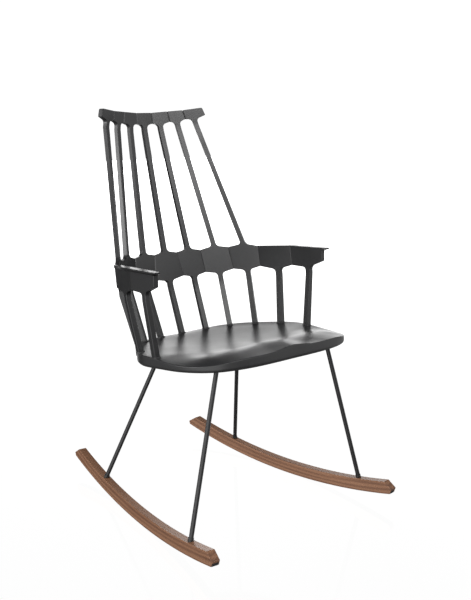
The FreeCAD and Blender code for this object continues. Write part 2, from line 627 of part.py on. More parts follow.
wt = 1.2
fs = revolve_parts(FIX, [(D["frame_screw_head"] / 2, BAR_LOW - wt - 3.4, BAR_LOW - wt - 0.02), (D["frame_screw_dia"] / 2, BAR_LOW - wt - 1.0, D["bar_top"] + 6.5)])
fs = [s.makeFillet(1.1, [e for e in s.Edges if abs(e.BoundBox.ZMax - (BAR_LOW - wt - 3.4)) < 1e-3 and e.BoundBox.ZLength < 1e-3]) for s in fs]
publish(feature("frame_screws_shape", Part.makeCompound(fs)), "frame_screws", S)
fw = []
for x, v in FIX:
    c = Part.makeCylinder(D["frame_washer_dia"] / 2, wt - 0.04, V(x, v, BAR_LOW - wt), V(0, 0, 1))
    fw.append(c.cut(Part.makeCylinder(D["frame_screw_dia"] / 2 + 0.25, 10, V(x, v, BAR_LOW - 6), V(0, 0, 1))))
publish(feature("frame_washers_shape", Part.makeCompound(fw)), "frame_washers", S)
ins = []
for x, v in FIX:
    c = Part.makeCylinder(D["insert_dia"] / 2, D["insert_long"], V(x, v, D["bar_top"] + 0.1), V(0, 0, 1))
    ins.append(c.cut(Part.makeCylinder(D["frame_screw_dia"] / 2 + 0.05, 30, V(x, v, D["bar_top"] - 6), V(0, 0, 1))))
publish(feature("seat_inserts_shape", Part.makeCompound(ins)), "seat_inserts", S)

# tenon screws and washers, one per lower spindle
tw = 0.9
hb = D["boss_foot"] - tw
ts = revolve_parts(FEET_ALL, [(D["tenon_screw_head"] / 2, hb - 2.4, hb - 0.02), (D["tenon_screw_dia"] / 2, hb - 1.0, hb + D["tenon_screw_long"] - 2)])
publish(feature("tenon_screws_shape", Part.makeCompound(ts)), "tenon_screws", S)
tws = []
for x, v in FEET_ALL:
    c = Part.makeCylinder(D["tenon_washer_dia"] / 2, tw - 0.04, V(x, v, D["boss_foot"] - tw + 0.02), V(0, 0, 1))
    tws.append(c.cut(Part.makeCylinder(D["tenon_screw_dia"] / 2 + 0.2, 10, V(x, v, D["boss_foot"] - 5), V(0, 0, 1))))
publish(feature("tenon_washers_shape", Part.makeCompound(tws)), "tenon_washers", S)

# ------------------------------------------------------------------ comb: crest, spindles, belt and arms
# inner-face crease points, right half; the centre facet spans its own mirror image
BELT_TOP = [V(35.9, 250.0, 617.0), V(106.0, 236.8, 617.7), V(170.4, 194.6, 624.6), V(221.0, 128.0, 630.0), V(245.5, 25.0, 641.0), V(253.0, -87.3, 648.3)]
BELT_LEAN = [16.5, 14.5, 10.5, 5.5, 1.5, 0.0]
BELT_LOW_Z = [554.0, 556.5, 564.5, 575.0, 590.0, 613.0]
CREST_TOP = [V(23.6, 341.3, 986.6), V(68.1, 330.3, 990.0), V(108.3, 315.1, 993.1), V(156.1, 290.6, 1000.0)]
CREST_LEAN = [8.0, 7.5, 6.0, 4.0]
CREST_LOW_Z = [959.0, 963.5, 970.3, 981.5]

def mirror(p):
    return V(-p.x, p.y, p.z)

def facet_normals(tops, leans):
    """Inward normals of the facets: facet 0 is the centre one."""
    out = []
    for k in range(len(tops)):
        a = mirror(tops[0]) if k == 0 else tops[k - 1]
        b = tops[k]
        t = b - a
        hor = V(t.x, t.y, 0)
        hor.normalize()
        inward = V(hor.y, -hor.x, 0)       # towards the sitter
        if inward.dot(V(0, -1, 0)) < 0 and k < 4:
            inward = inward.negative()
        if k >= 4 and inward.x > 0:
            inward = inward.negative()
        l = math.radians(leans[k])
        n = inward * math.cos(l) + V(0, 0, 1) * math.sin(l)
        # make it square to the slightly rising top edge
        t.normalize()
        n = n - t * n.dot(t)
        n.normalize()
        out.append(n)
    return out

def crease_low(tops, normals, lows):
    """Bottom point of each crease: on both neighbouring facet planes."""
    out = []
    for k in range(len(tops)):
        n1 = normals[k]
        n2 = normals[k + 1] if k + 1 < len(normals) else None
        if n2 is None:
            hor = V(n1.x, n1.y, 0)
            d = V(0, 0, -1) - n1 * (-n1.z)
        else:
            d = n1.cross(n2)
        d.normalize()
        if d.z > 0:
            d = d.negative()
        if abs(d.z) < 0.3:
            d = V(0, 0, -1) - n1 * (-n1.z)
            d.normalize()
        p = tops[k] + d * ((lows[k] - tops[k].z) / d.z)
        out.append(p)
    return out

def mitre(n1, n2, t):
    m = n1 + n2
    return m * (-t / (1 + n1.dot(n2)))

BN = facet_normals(BELT_TOP, BELT_LEAN)
BL = crease_low(BELT_TOP, BN, BELT_LOW_Z)
CN = facet_normals(CREST_TOP, CREST_LEAN)
CL = crease_low(CREST_TOP, CN, CREST_LOW_Z)
# the crest's ends slant outwards going down
END_OUT = CREST_TOP[3] - CREST_TOP[2]
END_OUT.normalize()
CL[3] = CL[3] + END_OUT * D["crest_end_slant"]

def facet_corners(k, tops, lows):
    a_t = mirror(tops[0]) if k == 0 else tops[k - 1]
    a_l = mirror(lows[0]) if k == 0 else lows[k - 1]
    return a_t, tops[k], lows[k], a_l

def on_edge(a, b, f):
    return a + (b - a) * f

# where each spindle stands along its facet, 0..1 from the inner crease
UP_F_BELT = [0.5, 0.5, 0.5, 0.5]
UP_F_CREST = [0.5, 0.44, 0.45, 0.42]
LOW_F = [0.5, 0.48, 0.5, 0.5, 0.54, 0.52]

def root_points(m, e, o, half_len, h, rise, rad, skew):
    """From the left crease to the right one along one edge of a facet, round a spindle root.
    m: spindle centre on the edge line; e along the edge; o outwards from the facet;
    skew: sideways lean of the spindle in the facet plane."""
    out = []
    for sgn, ln in ((-1, half_len[0]), (1, half_len[1])):
        tn = math.tan(math.radians(rise))
        up_k = (ln - h) * tn
        kx = sgn * h
        # fillet between the rising edge and the spindle side
        ang = math.radians(90 + rise)
        t = rad * math.tan((math.pi - ang) / 2)
        s2 = (kx, up_k + t)
        cx, cy = kx + sgn * rad, up_k + t
        sweep = math.pi - ang
        pts = []
        for i in range(7):
            q = sweep * i / 6
            pts.append((cx - sgn * rad * math.cos(q), cy - rad * math.sin(q)))
        seq = [(kx, up_k + t + 6.0)] + pts
        out.append([m + e * (a + skew * max(0.0, b - up_k) * min(1.0, max(0.0, 1.0 - (abs(a) - h) / rad))) + o * b for a, b in seq])
    left, right = out
    return left[::-1] + right

def facet_polygon(k, tops, lows, normals, up_f, low_f, sw_up, sw_low, up_dir=None, low_dir=None):
    """Outline of one facet's inner face with its flared spindle roots."""
    at, bt, bl, al = facet_corners(k, tops, lows)
    n = normals[k]
    e = bt - at
    e.normalize()
    up = n.cross(e)
    if up.z < 0:
        up = up.negative()
    pts = [at]
    if up_f is not None:
        m = on_edge(at, bt, up_f)
        ln = (bt - at).Length
        pts += root_points(m, e, up, (ln * up_f, ln * (1 - up_f)), sw_up / 2, D["edge_rise"], D["root_rad"], up_dir.dot(e) / up_dir.dot(up))
    pts.append(bt)
    pts.append(bl)
    if low_f is not None:
        m = on_edge(al, bl, low_f)
        g = bl - al
        g = g - n * g.dot(n)
        ln = g.Length
        g.normalize()
        dn = n.cross(g)
        if dn.z > 0:
            dn = dn.negative()
        m = m - n * (m - at).dot(n)
        pts += root_points(m, g, dn, (ln * low_f, ln * (1 - low_f)), sw_low / 2, D["edge_rise"], D["root_rad"], low_dir.dot(g) / low_dir.dot(dn))[::-1]
    pts.append(al)
    return pts, e, up

def offset_points(k, pts, tops, lows, normals, t):
    n = normals[k]
    at, bt, bl, al = facet_corners(k, tops, lows)
    n_prev = V(-normals[1].x, normals[1].y, normals[1].z) if k == 0 else normals[k - 1]
    n_next = normals[k + 1] if k + 1 < len(normals) else n
    out = []
    for p in pts:
        if (p - at).Length < 1e-6 or (p - al).Length < 1e-6:
            out.append(p + mitre(n, n_prev, t))
        elif (p - bt).Length < 1e-6 or (p - bl).Length < 1e-6:
            out.append(p + mitre(n, n_next, t))
        else:
            out.append(p - n * t)
    return out

def bar_section(c, e, n, wide, deep, ch, inset=0.35):
    """Octagon-like spindle section: flat front flush with the facet, wide side chamfers."""
    h = wide / 2
    f = inset
    b = deep
    raw = [(-h + ch * 0.55, f), (h - ch * 0.55, f), (h, f + ch), (h, b - ch), (h - ch, b - 0.2), (-h + ch, b - 0.2), (-h, b - ch), (-h, f + ch)]
    return [c + e * x - n * y for x, y in raw]

def bar_between(sec0, sec1):
    n = len(sec0)
    faces = [sec0[::-1] if n > 4 else sec0[::-1], sec1]
    for i in range(n):
        j = (i + 1) % n
        faces.append([sec0[i], sec0[j], sec1[j], sec1[i]])
    return poly_solid(faces)

def edge_mid(k, tops, lows, f, low):
    at, bt, bl, al = facet_corners(k, tops, lows)
    return on_edge(al, bl, f) if low else on_edge(at, bt, f)

def upper_dir(k):
    d = edge_mid(k, CREST_TOP, CL, UP_F_CREST[k], True) - edge_mid(k, BELT_TOP, BL, UP_F_BELT[k], False)
    d.normalize()
    return d

def lower_dir(k):
    f = S.multVec(V(FEET_S[k].x, FEET_S[k].y, 0)) + BN[k] * (D["spin_deep"] / 2)
    d = f - edge_mid(k, BELT_TOP, BL, LOW_F[k], True)
    d.normalize()
    return d

parts_right, parts_mid = [], []
SPIN = []          # for the record of centre lines
for k in range(6):
    sw_up = D["spin_wide"]
    arm = k >= 4
    sw_low = D["spin_wide_arm"] if arm else D["spin_wide"]
    sd_low = D["spin_deep_arm"] if arm else D["spin_deep"]
    pts, e, up = facet_polygon(k, BELT_TOP, BL, BN, UP_F_BELT[k] if k < 4 else None, LOW_F[k], sw_up, sw_low,
                               upper_dir(k) if k < 4 else None, lower_dir(k))
    back = offset_points(k, pts, BELT_TOP, BL, BN, D["belt_thick"])
    s = slab(pts, back)
    (parts_mid if k == 0 else parts_right).append(s)
    # lower spindle: belt to foot, then a collar and a round tenon into the seat
    at, bt, bl, al = facet_corners(k, BELT_TOP, BL)
    m = on_edge(al, bl, LOW_F[k])
    n = BN[k]
    c0 = m - up * 0 + up * 6
    fs_ = FEET_S[k]
    foot = S.multVec(V(fs_.x, fs_.y, foot_seat_level(fs_.x, fs_.y)))
    wn = S.Rotation.multVec(V(0, 0, 1))
    sec0 = bar_section(c0, e, n, sw_low, sd_low, D["spin_chamfer"])
    lv = foot_seat_level(fs_.x, fs_.y)
    sec1 = [S.multVec(V(fs_.x + a, fs_.y + b, lv)) for a, b in foot_section(k, 0.0)]
    # same winding and start as the upper section
    if (sec1[1] - sec1[0]).dot(sec0[1] - sec0[0]) < 0:
        sec1 = [sec1[1], sec1[0]] + sec1[:1:-1]
    bar = bar_between(sec0, sec1)
    collar = collar_solid(k, 0.0, D["collar_up"] + 0.4)
    collar.transformShape(S.toMatrix())
    ten_lo = S.multVec(V(fs_.x, fs_.y, -D["tenon_long"]))
    tenon = cyl(ten_lo, foot + wn * 2.0, D["tenon_dia"] / 2)
    pilot = cyl(ten_lo - wn * 3, S.multVec(V(fs_.x, fs_.y, hb + D["tenon_screw_long"] - 1)), D["tenon_screw_dia"] / 2 + 0.05)
    leg = bar.multiFuse([collar, tenon]).cut(pilot)
    (parts_mid if k == 0 else parts_right).append(leg)
    SPIN.append((c0, foot))
for k in range(4):
    pts, e, up = facet_polygon(k, CREST_TOP, CL, CN, None, UP_F_CREST[k], D["spin_wide"], D["spin_wide"], None, upper_dir(k) * -1)
    back = offset_points(k, pts, CREST_TOP, CL, CN, D["crest_thick"])
    s = slab(pts, back)
    (parts_mid if k == 0 else parts_right).append(s)
    at, bt, bl, al = facet_corners(k, CREST_TOP, CL)
    mt = on_edge(al, bl, UP_F_CREST[k]) + up * 6
    bt_, bb_, _, _ = facet_corners(k, BELT_TOP, BL)
    eb = bb_ - bt_
    eb.normalize()
    upb = BN[k].cross(eb)
    if upb.z < 0:
        upb = upb.negative()
    mb = on_edge(bt_, bb_, UP_F_BELT[k]) - upb * 6
    sec0 = bar_section(mb, eb, BN[k], D["spin_wide"], D["spin_deep"], D["spin_chamfer"])
    sec1 = bar_section(mt, e, CN[k], D["spin_wide"], D["spin_deep"], D["spin_chamfer"])
    (parts_mid if k == 0 else parts_right).append(bar_between(sec0, sec1))

# outward flange along the arm's top edge, running past its front end as a small lip
def flange():
    t = D["belt_thick"]
    def outer(k):
        n2 = BN[k + 1] if k + 1 < len(BN) else BN[k]
        return BELT_TOP[k] + mitre(BN[k], n2, t)
    pts = [outer(3), outer(4), outer(5)]
    fwd = pts[2] - pts[1]
    fwd.normalize()
    pts.append(pts[2] + fwd * D["lip_fwd"])
    outs = []
    for i, p in enumerate(pts):
        n = BN[4] if i == 0 else (BN[5] if i >= 2 else None)
        if n is None:
            n = BN[4] + BN[5]
            n.normalize()
        o = V(-n.x, -n.y, 0)
        o.normalize()
        q = p + V(0, 0, 0.15)
        reach = D["flange_out"] * (0.25 if i == 0 else (1.0 if i < 3 else 0.45))
        high = D["flange_high"] * (1.0 if i < 3 else 0.35)
        inn = q - o * (t * 0.6)
        outs.append([inn, q + o * reach, q + o * reach - V(0, 0, high * 0.35), q + o * 0.4 - V(0, 0, high), inn - V(0, 0, high)])
    res = []
    for a, b in zip(outs[:-1], outs[1:]):
        n = len(a)
        faces = [a[::-1], b]
        for i in range(n):
            j = (i + 1) % n
            faces.append([a[i], a[j], b[j], b[i]])
        fs2 = []
        for f in faces:
            if len(f) == 5:
                c = V(0, 0, 0)
                for p in f:
                    c = c + p
                c = c * 0.2
                fs2 += [[f[i], f[(i + 1) % 5], c] for i in range(5)]
            else:
                fs2.append(f)
        res.append(poly_solid(fs2))
    return res

parts_right += flange()
allp = list(parts_mid) + list(parts_right)
for s in parts_right:
    m = s.mirror(V(0, 0, 0), V(1, 0, 0))
    allp.append(m)
for i, s in enumerate(allp):
    if not s.isValid() or s.Volume <= 0:
        raise RuntimeError("comb piece %d is not a good solid (%s, %.1f)" % (i, s.isValid(), s.Volume))
comb = allp[0].multiFuse(allp[1:])
comb = comb.removeSplitter()
print("comb solids", len(comb.Solids), "volume", round(comb.Volume))
if len(comb.Solids) == 1:
    comb = comb.Solids[0]
publish(feature("comb_shape", comb), "back_comb")

# ------------------------------------------------------------------ checks and files
doc.recompute()
bad = [o.Name for o in doc.Objects if "Invalid" in o.State or "Error" in o.State]
if bad:
    raise RuntimeError("failed objects: %s" % bad)
tot, cg = 0.0, V(0, 0, 0)
RHO = {"back": 1.1e-3, "seat_shell": 1.1e-3, "rocker_tread": 1.2e-3, "rocker": 0.6e-3}
lo, hi = V(1e9, 1e9, 1e9), V(-1e9, -1e9, -1e9)
for o in NODES:
    s = o.Shape
    if s.isNull() or not s.isValid():
        raise RuntimeError("bad shape: " + o.Label)
    rho = 7.85e-3
    for k_, r_ in RHO.items():
        if o.Label.startswith(k_):
            rho = r_
            break
    m = s.Volume * rho
    c = V(0, 0, 0)
    for q in s.Solids:
        c = c + q.CenterOfMass * q.Volume
    c = c * (1.0 / s.Volume)
    tot += m
    cg = cg + c * m
    b = s.BoundBox
    lo = V(min(lo.x, b.XMin), min(lo.y, b.YMin), min(lo.z, b.ZMin))
    hi = V(max(hi.x, b.XMax), max(hi.y, b.YMax), max(hi.z, b.ZMax))
    print("%-24s solids %2d  vol %10.1f  mass %7.1f g  box %s %s" % (o.Label, len(s.Solids), s.Volume, m, [round(v, 1) for v in (b.XMin, b.YMin, b.ZMin)], [round(v, 1) for v in (b.XMax, b.YMax, b.ZMax)]))
cg = cg * (1.0 / tot)
contact = G.multVec(V(0, SC * math.cos(TOE), 0)).y
print("mass kg %.3f  centre of gravity %s" % (tot / 1000, [round(v, 1) for v in cg]))
print("box", [round(v, 2) for v in lo], [round(v, 2) for v in hi])
for o in NODES:
    o.Shape.exportStep("parts/" + o.Label + ".step")
print("written", len(NODES))
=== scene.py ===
import bpy, math
import numpy as np
from mathutils import Vector, Matrix


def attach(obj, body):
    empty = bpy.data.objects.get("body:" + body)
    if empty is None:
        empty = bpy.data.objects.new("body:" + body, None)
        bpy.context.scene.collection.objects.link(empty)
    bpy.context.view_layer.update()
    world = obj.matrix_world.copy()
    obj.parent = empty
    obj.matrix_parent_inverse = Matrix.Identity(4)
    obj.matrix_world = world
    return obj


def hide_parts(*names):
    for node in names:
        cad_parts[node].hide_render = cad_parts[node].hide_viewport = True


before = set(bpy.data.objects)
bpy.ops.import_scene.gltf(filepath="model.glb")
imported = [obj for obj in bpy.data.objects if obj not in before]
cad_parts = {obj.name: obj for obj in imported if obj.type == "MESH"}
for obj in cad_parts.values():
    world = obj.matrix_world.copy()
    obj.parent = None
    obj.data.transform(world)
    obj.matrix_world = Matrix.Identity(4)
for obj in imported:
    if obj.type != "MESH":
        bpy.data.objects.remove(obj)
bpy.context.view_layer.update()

SCN = bpy.context.scene

# ------------------------------------------------------------------ the chair's own frame
# Shapes are worked out in the drawing frame in mm (X across, -Y to the front, Z up) and
# then turned and shifted into the resting place, in metres.
TILT = math.radians(0.875)
TOE = math.radians(6.559)
RB, TH, SC, RX = 1653.0, 31.8, 62.3, 246.3
PIVOT = np.array([0.0, SC * math.cos(TOE), RB])


def place(P):
    P = np.atleast_2d(np.asarray(P, float))
    y, z = P[:, 1] - PIVOT[1], P[:, 2] - PIVOT[2]
    c, s = math.cos(TILT), math.sin(TILT)
    return np.stack([P[:, 0], PIVOT[1] + y * c - z * s - 65.65, PIVOT[2] + y * s + z * c + 0.5], 1) / 1000.0


def turn(D):
    D = np.asarray(D, float)
    c, s = math.cos(TILT), math.sin(TILT)
    return np.array([D[0], D[1] * c - D[2] * s, D[1] * s + D[2] * c])


SA = math.radians(7.4)
S0 = np.array([0.0, -30.0, 439.2])


def seat_pt(x, v, w):
    return np.array([x, S0[1] + v * math.cos(SA) + w * math.sin(SA), S0[2] - v * math.sin(SA) + w * math.cos(SA)])


def to_seat(p):
    y, z = p[1] - S0[1], p[2] - S0[2]
    return np.array([p[0], y * math.cos(SA) - z * math.sin(SA), y * math.sin(SA) + z * math.cos(SA)])


def A(*v):
    return np.array(v, float)


def unit(v):
    return v / np.linalg.norm(v)


def smooth(a, b, t):
    k = max(0.0, min(1.0, (t - a) / (b - a)))
    return k * k * (3 - 2 * k)


def flipx(p):
    return np.array([-p[0], p[1], p[2]])


# ------------------------------------------------------------------ node helpers
class Tree:
    """A short way to write node trees."""

    def __init__(self, owner):
        owner.use_nodes = True
        self.t = owner.node_tree
        self.t.nodes.clear()

    def n(self, kind, **sets):
        node = self.t.nodes.new(kind)
        for k, v in sets.items():
            if k.startswith("i_"):
                key = k[2:].replace("_", " ")
                sock = node.inputs[key] if key in node.inputs else node.inputs[int(k[2:])]
                self.put(sock, v)
            elif k.startswith("n") and k[1:].isdigit():
                self.put(node.inputs[int(k[1:])], v)
            else:
                setattr(node, k, v)
        return node

    def put(self, sock, v):
        if hasattr(v, "is_output") or isinstance(v, bpy.types.NodeSocket):
            self.t.links.new(v, sock)
        elif isinstance(v, bpy.types.Node):
            self.t.links.new(v.outputs[0], sock)
        else:
            if hasattr(sock, "default_value") and hasattr(sock.default_value, "__len__") and not hasattr(v, "__len__"):
                v = (v,) * len(sock.default_value)
            elif hasattr(v, "__len__") and len(v) == 3 and sock.type == "RGBA":
                v = tuple(v) + (1.0,)
            sock.default_value = v

    def math(self, op, a, b=None, clamp=False):
        m = self.t.nodes.new("ShaderNodeMath")
        m.operation, m.use_clamp = op, clamp
        self.put(m.inputs[0], a)
        if b is not None:
            self.put(m.inputs[1], b)
        return m.outputs[0]

    def noise(self, vec, scale, detail=3.0, rough=0.55, dist=0.0):
        m = self.t.nodes.new("ShaderNodeTexNoise")
        self.put(m.inputs["Vector"], vec)
        self.put(m.inputs["Scale"], scale)
        self.put(m.inputs["Detail"], detail)
        self.put(m.inputs["Roughness"], rough)
        self.put(m.inputs["Distortion"], dist)
        return m.outputs["Fac"]

    def span(self, x, a, b, c, d):
        m = self.t.nodes.new("ShaderNodeMapRange")
        self.put(m.inputs[0], x)
        for i, q in enumerate((a, b, c, d)):
            m.inputs[i + 1].default_value = q
        return m.outputs[0]

    def ramp(self, x, stops):
        m = self.t.nodes.new("ShaderNodeValToRGB")
        self.put(m.inputs[0], x)
        el = m.color_ramp.elements
        while len(el) < len(stops):
            el.new(0.5)
        for e, (p, c) in zip(el, stops):
            e.position = p
            e.color = tuple(c) + (1.0,)
        return m.outputs[0]

    def bump(self, h, dist, strength=1.0, normal=None):
        m = self.t.nodes.new("ShaderNodeBump")
        m.inputs["Distance"].default_value = dist
        m.inputs["Strength"].default_value = strength
        self.put(m.inputs["Height"], h)
        if normal is not None:
            self.put(m.inputs["Normal"], normal)
        return m.outputs[0]


def principled(t, color, rough, normal=None, metallic=0.0, ior=1.48, spec=0.5, coat=0.0, coat_rough=0.2):
    b = t.n("ShaderNodeBsdfPrincipled")
    t.put(b.inputs["Base Color"], color)
    t.put(b.inputs["Roughness"], rough)
    b.inputs["Metallic"].default_value = metallic
    b.inputs["IOR"].default_value = ior
    b.inputs["Specular IOR Level"].default_value = spec
    b.inputs["Coat Weight"].default_value = coat
    b.inputs["Coat Roughness"].default_value = coat_rough
    if normal is not None:
        t.put(b.inputs["Normal"], normal)
    o = t.n("ShaderNodeOutputMaterial")
    t.t.links.new(b.outputs[0], o.inputs[0])
    return b


def new_mat(name):
    m = bpy.data.materials.new(name)
    return m, Tree(m)


def mat_moulding(name, r_lo, r_hi):
    """Black moulded plastic: fine spark texture, faint flow marks, slightly polished where it is touched."""
    m, t = new_mat(name)
    co = t.n("ShaderNodeTexCoord").outputs["Object"]
    fine = t.noise(co, 1500.0, 2.0, 0.6)
    mid = t.noise(co, 260.0, 3.0, 0.55)
    broad = t.noise(co, 9.0, 3.0, 0.5)
    flow = t.noise(t.n("ShaderNodeMapping", i_Vector=co, i_Scale=(30.0, 30.0, 5.0)), 1.0, 4.0, 0.6, 0.6)
    grain = t.math("ADD", t.math("MULTIPLY", fine, 0.7), t.math("MULTIPLY", mid, 0.3))
    col = t.ramp(t.math("ADD", t.math("MULTIPLY", broad, 0.6), t.math("MULTIPLY", mid, 0.4)),
                 [(0.30, (0.0150, 0.0150, 0.0158)), (0.72, (0.0215, 0.0215, 0.0225))])
    rough = t.math("ADD", t.span(broad, 0.3, 0.7, r_lo, r_hi), t.math("MULTIPLY", flow, 0.04))
    b1 = t.bump(grain, 0.00005, 0.55)
    b2 = t.bump(flow, 0.00025, 0.13, b1)
    principled(t, col, rough, b2, ior=1.50)
    return m


def mat_wood():
    """Steam-bent light brown hardwood; the grain follows the bend through a point attribute."""
    m, t = new_mat("rocker_wood")
    at = t.n("ShaderNodeAttribute")
    at.attribute_name = "grain"
    v = at.outputs["Vector"]
    long = t.n("ShaderNodeMapping", i_Vector=v, i_Scale=(2.2, 60.0, 60.0)).outputs[0]
    streak = t.n("ShaderNodeMapping", i_Vector=v, i_Scale=(7.0, 420.0, 420.0)).outputs[0]
    pores = t.n("ShaderNodeMapping", i_Vector=v, i_Scale=(60.0, 1900.0, 1900.0)).outputs[0]
    a = t.noise(long, 1.0, 4.0, 0.55, 0.35)
    b = t.noise(streak, 1.0, 4.0, 0.62, 0.15)
    c = t.noise(pores, 1.0, 2.0, 0.5)
    ringv = t.n("ShaderNodeMapping", i_Vector=v, i_Rotation=(0.0, 0.0, 0.35), i_Scale=(1.6, 30.0, 26.0)).outputs[0]
    rings = t.n("ShaderNodeTexWave", wave_type="BANDS", bands_direction="Z", i_Vector=ringv, i_Scale=1.0, i_Distortion=5.0, i_Detail=3.0, i_Detail_Scale=1.4).outputs["Fac"]
    tone = t.math("ADD", t.math("ADD", t.math("MULTIPLY", a, 0.42), t.math("MULTIPLY", b, 0.34)), t.math("MULTIPLY", rings, 0.24))
    col = t.ramp(tone, [(0.28, (0.116, 0.050, 0.026)), (0.50, (0.198, 0.093, 0.049)), (0.78, (0.292, 0.150, 0.085))])
    dark = t.span(c, 0.30, 0.44, 0.86, 1.0)
    mix = t.n("ShaderNodeMix", data_type="RGBA", blend_type="MULTIPLY")
    mix.inputs["Factor"].default_value = 1.0
    t.put(mix.inputs[6], col)
    comb = t.n("ShaderNodeCombineColor")
    for i in range(3):
        t.put(comb.inputs[i], dark)
    t.put(mix.inputs[7], comb)
    rough = t.math("ADD", t.span(b, 0.3, 0.7, 0.34, 0.44), t.math("MULTIPLY", c, 0.06))
    h = t.math("ADD", t.math("MULTIPLY", b, 0.3), t.math("MULTIPLY", c, 0.1))
    principled(t, mix.outputs[2], rough, t.bump(h, 0.00012, 0.3), ior=1.5)
    return m


def mat_paint(name, lo, hi, rough, grain=900.0, dist=0.00003):
    """Baked paint over steel: slight orange peel and dust-level roughness change."""
    m, t = new_mat(name)
    co = t.n("ShaderNodeTexCoord").outputs["Object"]
    peel = t.noise(co, grain, 2.0, 0.5)
    broad = t.noise(co, 14.0, 3.0, 0.5)
    col = t.ramp(t.math("ADD", t.math("MULTIPLY", broad, 0.7), t.math("MULTIPLY", peel, 0.3)), [(0.3, lo), (0.7, hi)])
    r = t.math("ADD", t.span(broad, 0.3, 0.7, rough - 0.04, rough + 0.04), t.math("MULTIPLY", peel, 0.03))
    principled(t, col, r, t.bump(peel, dist, 0.5), ior=1.5)
    return m


def mat_rubber():
    m, t = new_mat("tread_rubber")
    co = t.n("ShaderNodeTexCoord").outputs["Object"]
    g = t.noise(co, 1100.0, 3.0, 0.6)
    w = t.noise(co, 35.0, 4.0, 0.6)
    col = t.ramp(t.math("ADD", t.math("MULTIPLY", g, 0.4), t.math("MULTIPLY", w, 0.6)), [(0.3, (0.012, 0.012, 0.012)), (0.75, (0.030, 0.029, 0.028))])
    principled(t, col, t.span(w, 0.3, 0.7, 0.72, 0.88), t.bump(g, 0.0001, 0.6), ior=1.45)
    return m


def mat_metal(name, lo, hi, rough):
    """Plated or bare metal with turning marks and a little dulling."""
    m, t = new_mat(name)
    co = t.n("ShaderNodeTexCoord").outputs["Object"]
    g = t.noise(t.n("ShaderNodeMapping", i_Vector=co, i_Scale=(1.0, 1.0, 6.0)), 900.0, 3.0, 0.6)
    w = t.noise(co, 60.0, 4.0, 0.6)
    col = t.ramp(t.math("ADD", t.math("MULTIPLY", g, 0.3), t.math("MULTIPLY", w, 0.7)), [(0.3, lo), (0.7, hi)])
    principled(t, col, t.math("ADD", t.span(w, 0.3, 0.7, rough - 0.06, rough + 0.08), t.math("MULTIPLY", g, 0.05)), t.bump(g, 0.00002, 0.5), metallic=1.0, ior=1.5)
    return m


MOULD = mat_moulding("black_moulding", 0.26, 0.31)
SADDLE = mat_moulding("black_moulding_saddle", 0.33, 0.37)
WOOD = mat_wood()
RUBBER = mat_rubber()
ROD = mat_paint("rod_paint", (0.014, 0.014, 0.015), (0.021, 0.021, 0.022), 0.27)
FERRULE = mat_paint("ferrule_paint", (0.010, 0.010, 0.010), (0.016, 0.016, 0.016), 0.42)
BARS = mat_paint("frame_paint", (0.014, 0.014, 0.015), (0.022, 0.022, 0.023), 0.55, 500.0, 0.00008)
STEEL = mat_metal("plated_steel", (0.42, 0.42, 0.43), (0.60, 0.60, 0.60), 0.34)
BRASS = mat_metal("insert_brass", (0.50, 0.36, 0.16), (0.68, 0.50, 0.24), 0.36)


def make(name, verts, faces, mat, nodes, sharp=32.0, smooth_all=True):
    me = bpy.data.meshes.new(name)
    me.from_pydata([tuple(map(float, v)) for v in verts], [], [tuple(int(i) for i in f) for f in faces])
    me.validate()
    me.update()
    import bmesh
    bm = bmesh.new()
    bm.from_mesh(me)
    bmesh.ops.remove_doubles(bm, verts=bm.verts, dist=2e-6)
    bmesh.ops.dissolve_degenerate(bm, dist=1e-6, edges=bm.edges)
    loose = [v for v in bm.verts if not v.link_faces]
    bmesh.ops.delete(bm, geom=loose, context="VERTS")
    bmesh.ops.recalc_face_normals(bm, faces=bm.faces)
    bm.to_mesh(me)
    bm.free()
    if smooth_all:
        me.polygons.foreach_set("use_smooth", [True] * len(me.polygons))
        me.set_sharp_from_angle(angle=math.radians(sharp))
    me.materials.append(mat)
    ob = bpy.data.objects.new(name, me)
    SCN.collection.objects.link(ob)
    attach(ob, "root")
    if nodes:
        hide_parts(*nodes)
    return ob


# ------------------------------------------------------------------ comb: crest, spindles, belt and arms
BELT_TOP = [A(35.9, 250.0, 617.0), A(106.0, 236.8, 617.7), A(170.4, 194.6, 624.6), A(221.0, 128.0, 630.0), A(245.5, 25.0, 641.0), A(253.0, -87.3, 648.3)]
BELT_LEAN = [16.5, 14.5, 10.5, 5.5, 1.5, 0.0]
BELT_LOW_Z = [554.0, 556.5, 564.5, 575.0, 590.0, 613.0]
CREST_TOP = [A(23.6, 341.3, 986.6), A(68.1, 330.3, 990.0), A(108.3, 315.1, 993.1), A(156.1, 290.6, 1000.0)]
CREST_LEAN = [8.0, 7.5, 6.0, 4.0]
CREST_LOW_Z = [957.6, 962.0, 968.6, 978.8]
UP_F_BELT = [0.5, 0.5, 0.5, 0.5]
UP_F_CREST = [0.5, 0.44, 0.45, 0.42]
LOW_F = [0.5, 0.48, 0.5, 0.5, 0.54, 0.52]
SPIN_W, SPIN_D, ARM_W, ARM_D = 14.0, 12.8, 16.5, 13.5
BELT_T, CREST_T = 12.5, 12.0
RISE, ROOT_R = 11.0, 10.0
END_SLANT = 9.0


def facet_normals(tops, leans):
    out = []
    for k in range(len(tops)):
        a = flipx(tops[0]) if k == 0 else tops[k - 1]
        t = tops[k] - a
        hor = unit(A(t[0], t[1], 0))
        inward = A(hor[1], -hor[0], 0)
        if inward @ A(0, -1, 0) < 0 and k < 4:
            inward = -inward
        if k >= 4 and inward[0] > 0:
            inward = -inward
        l = math.radians(leans[k])
        n = inward * math.cos(l) + A(0, 0, 1) * math.sin(l)
        t = unit(t)
        out.append(unit(n - t * (n @ t)))
    return out


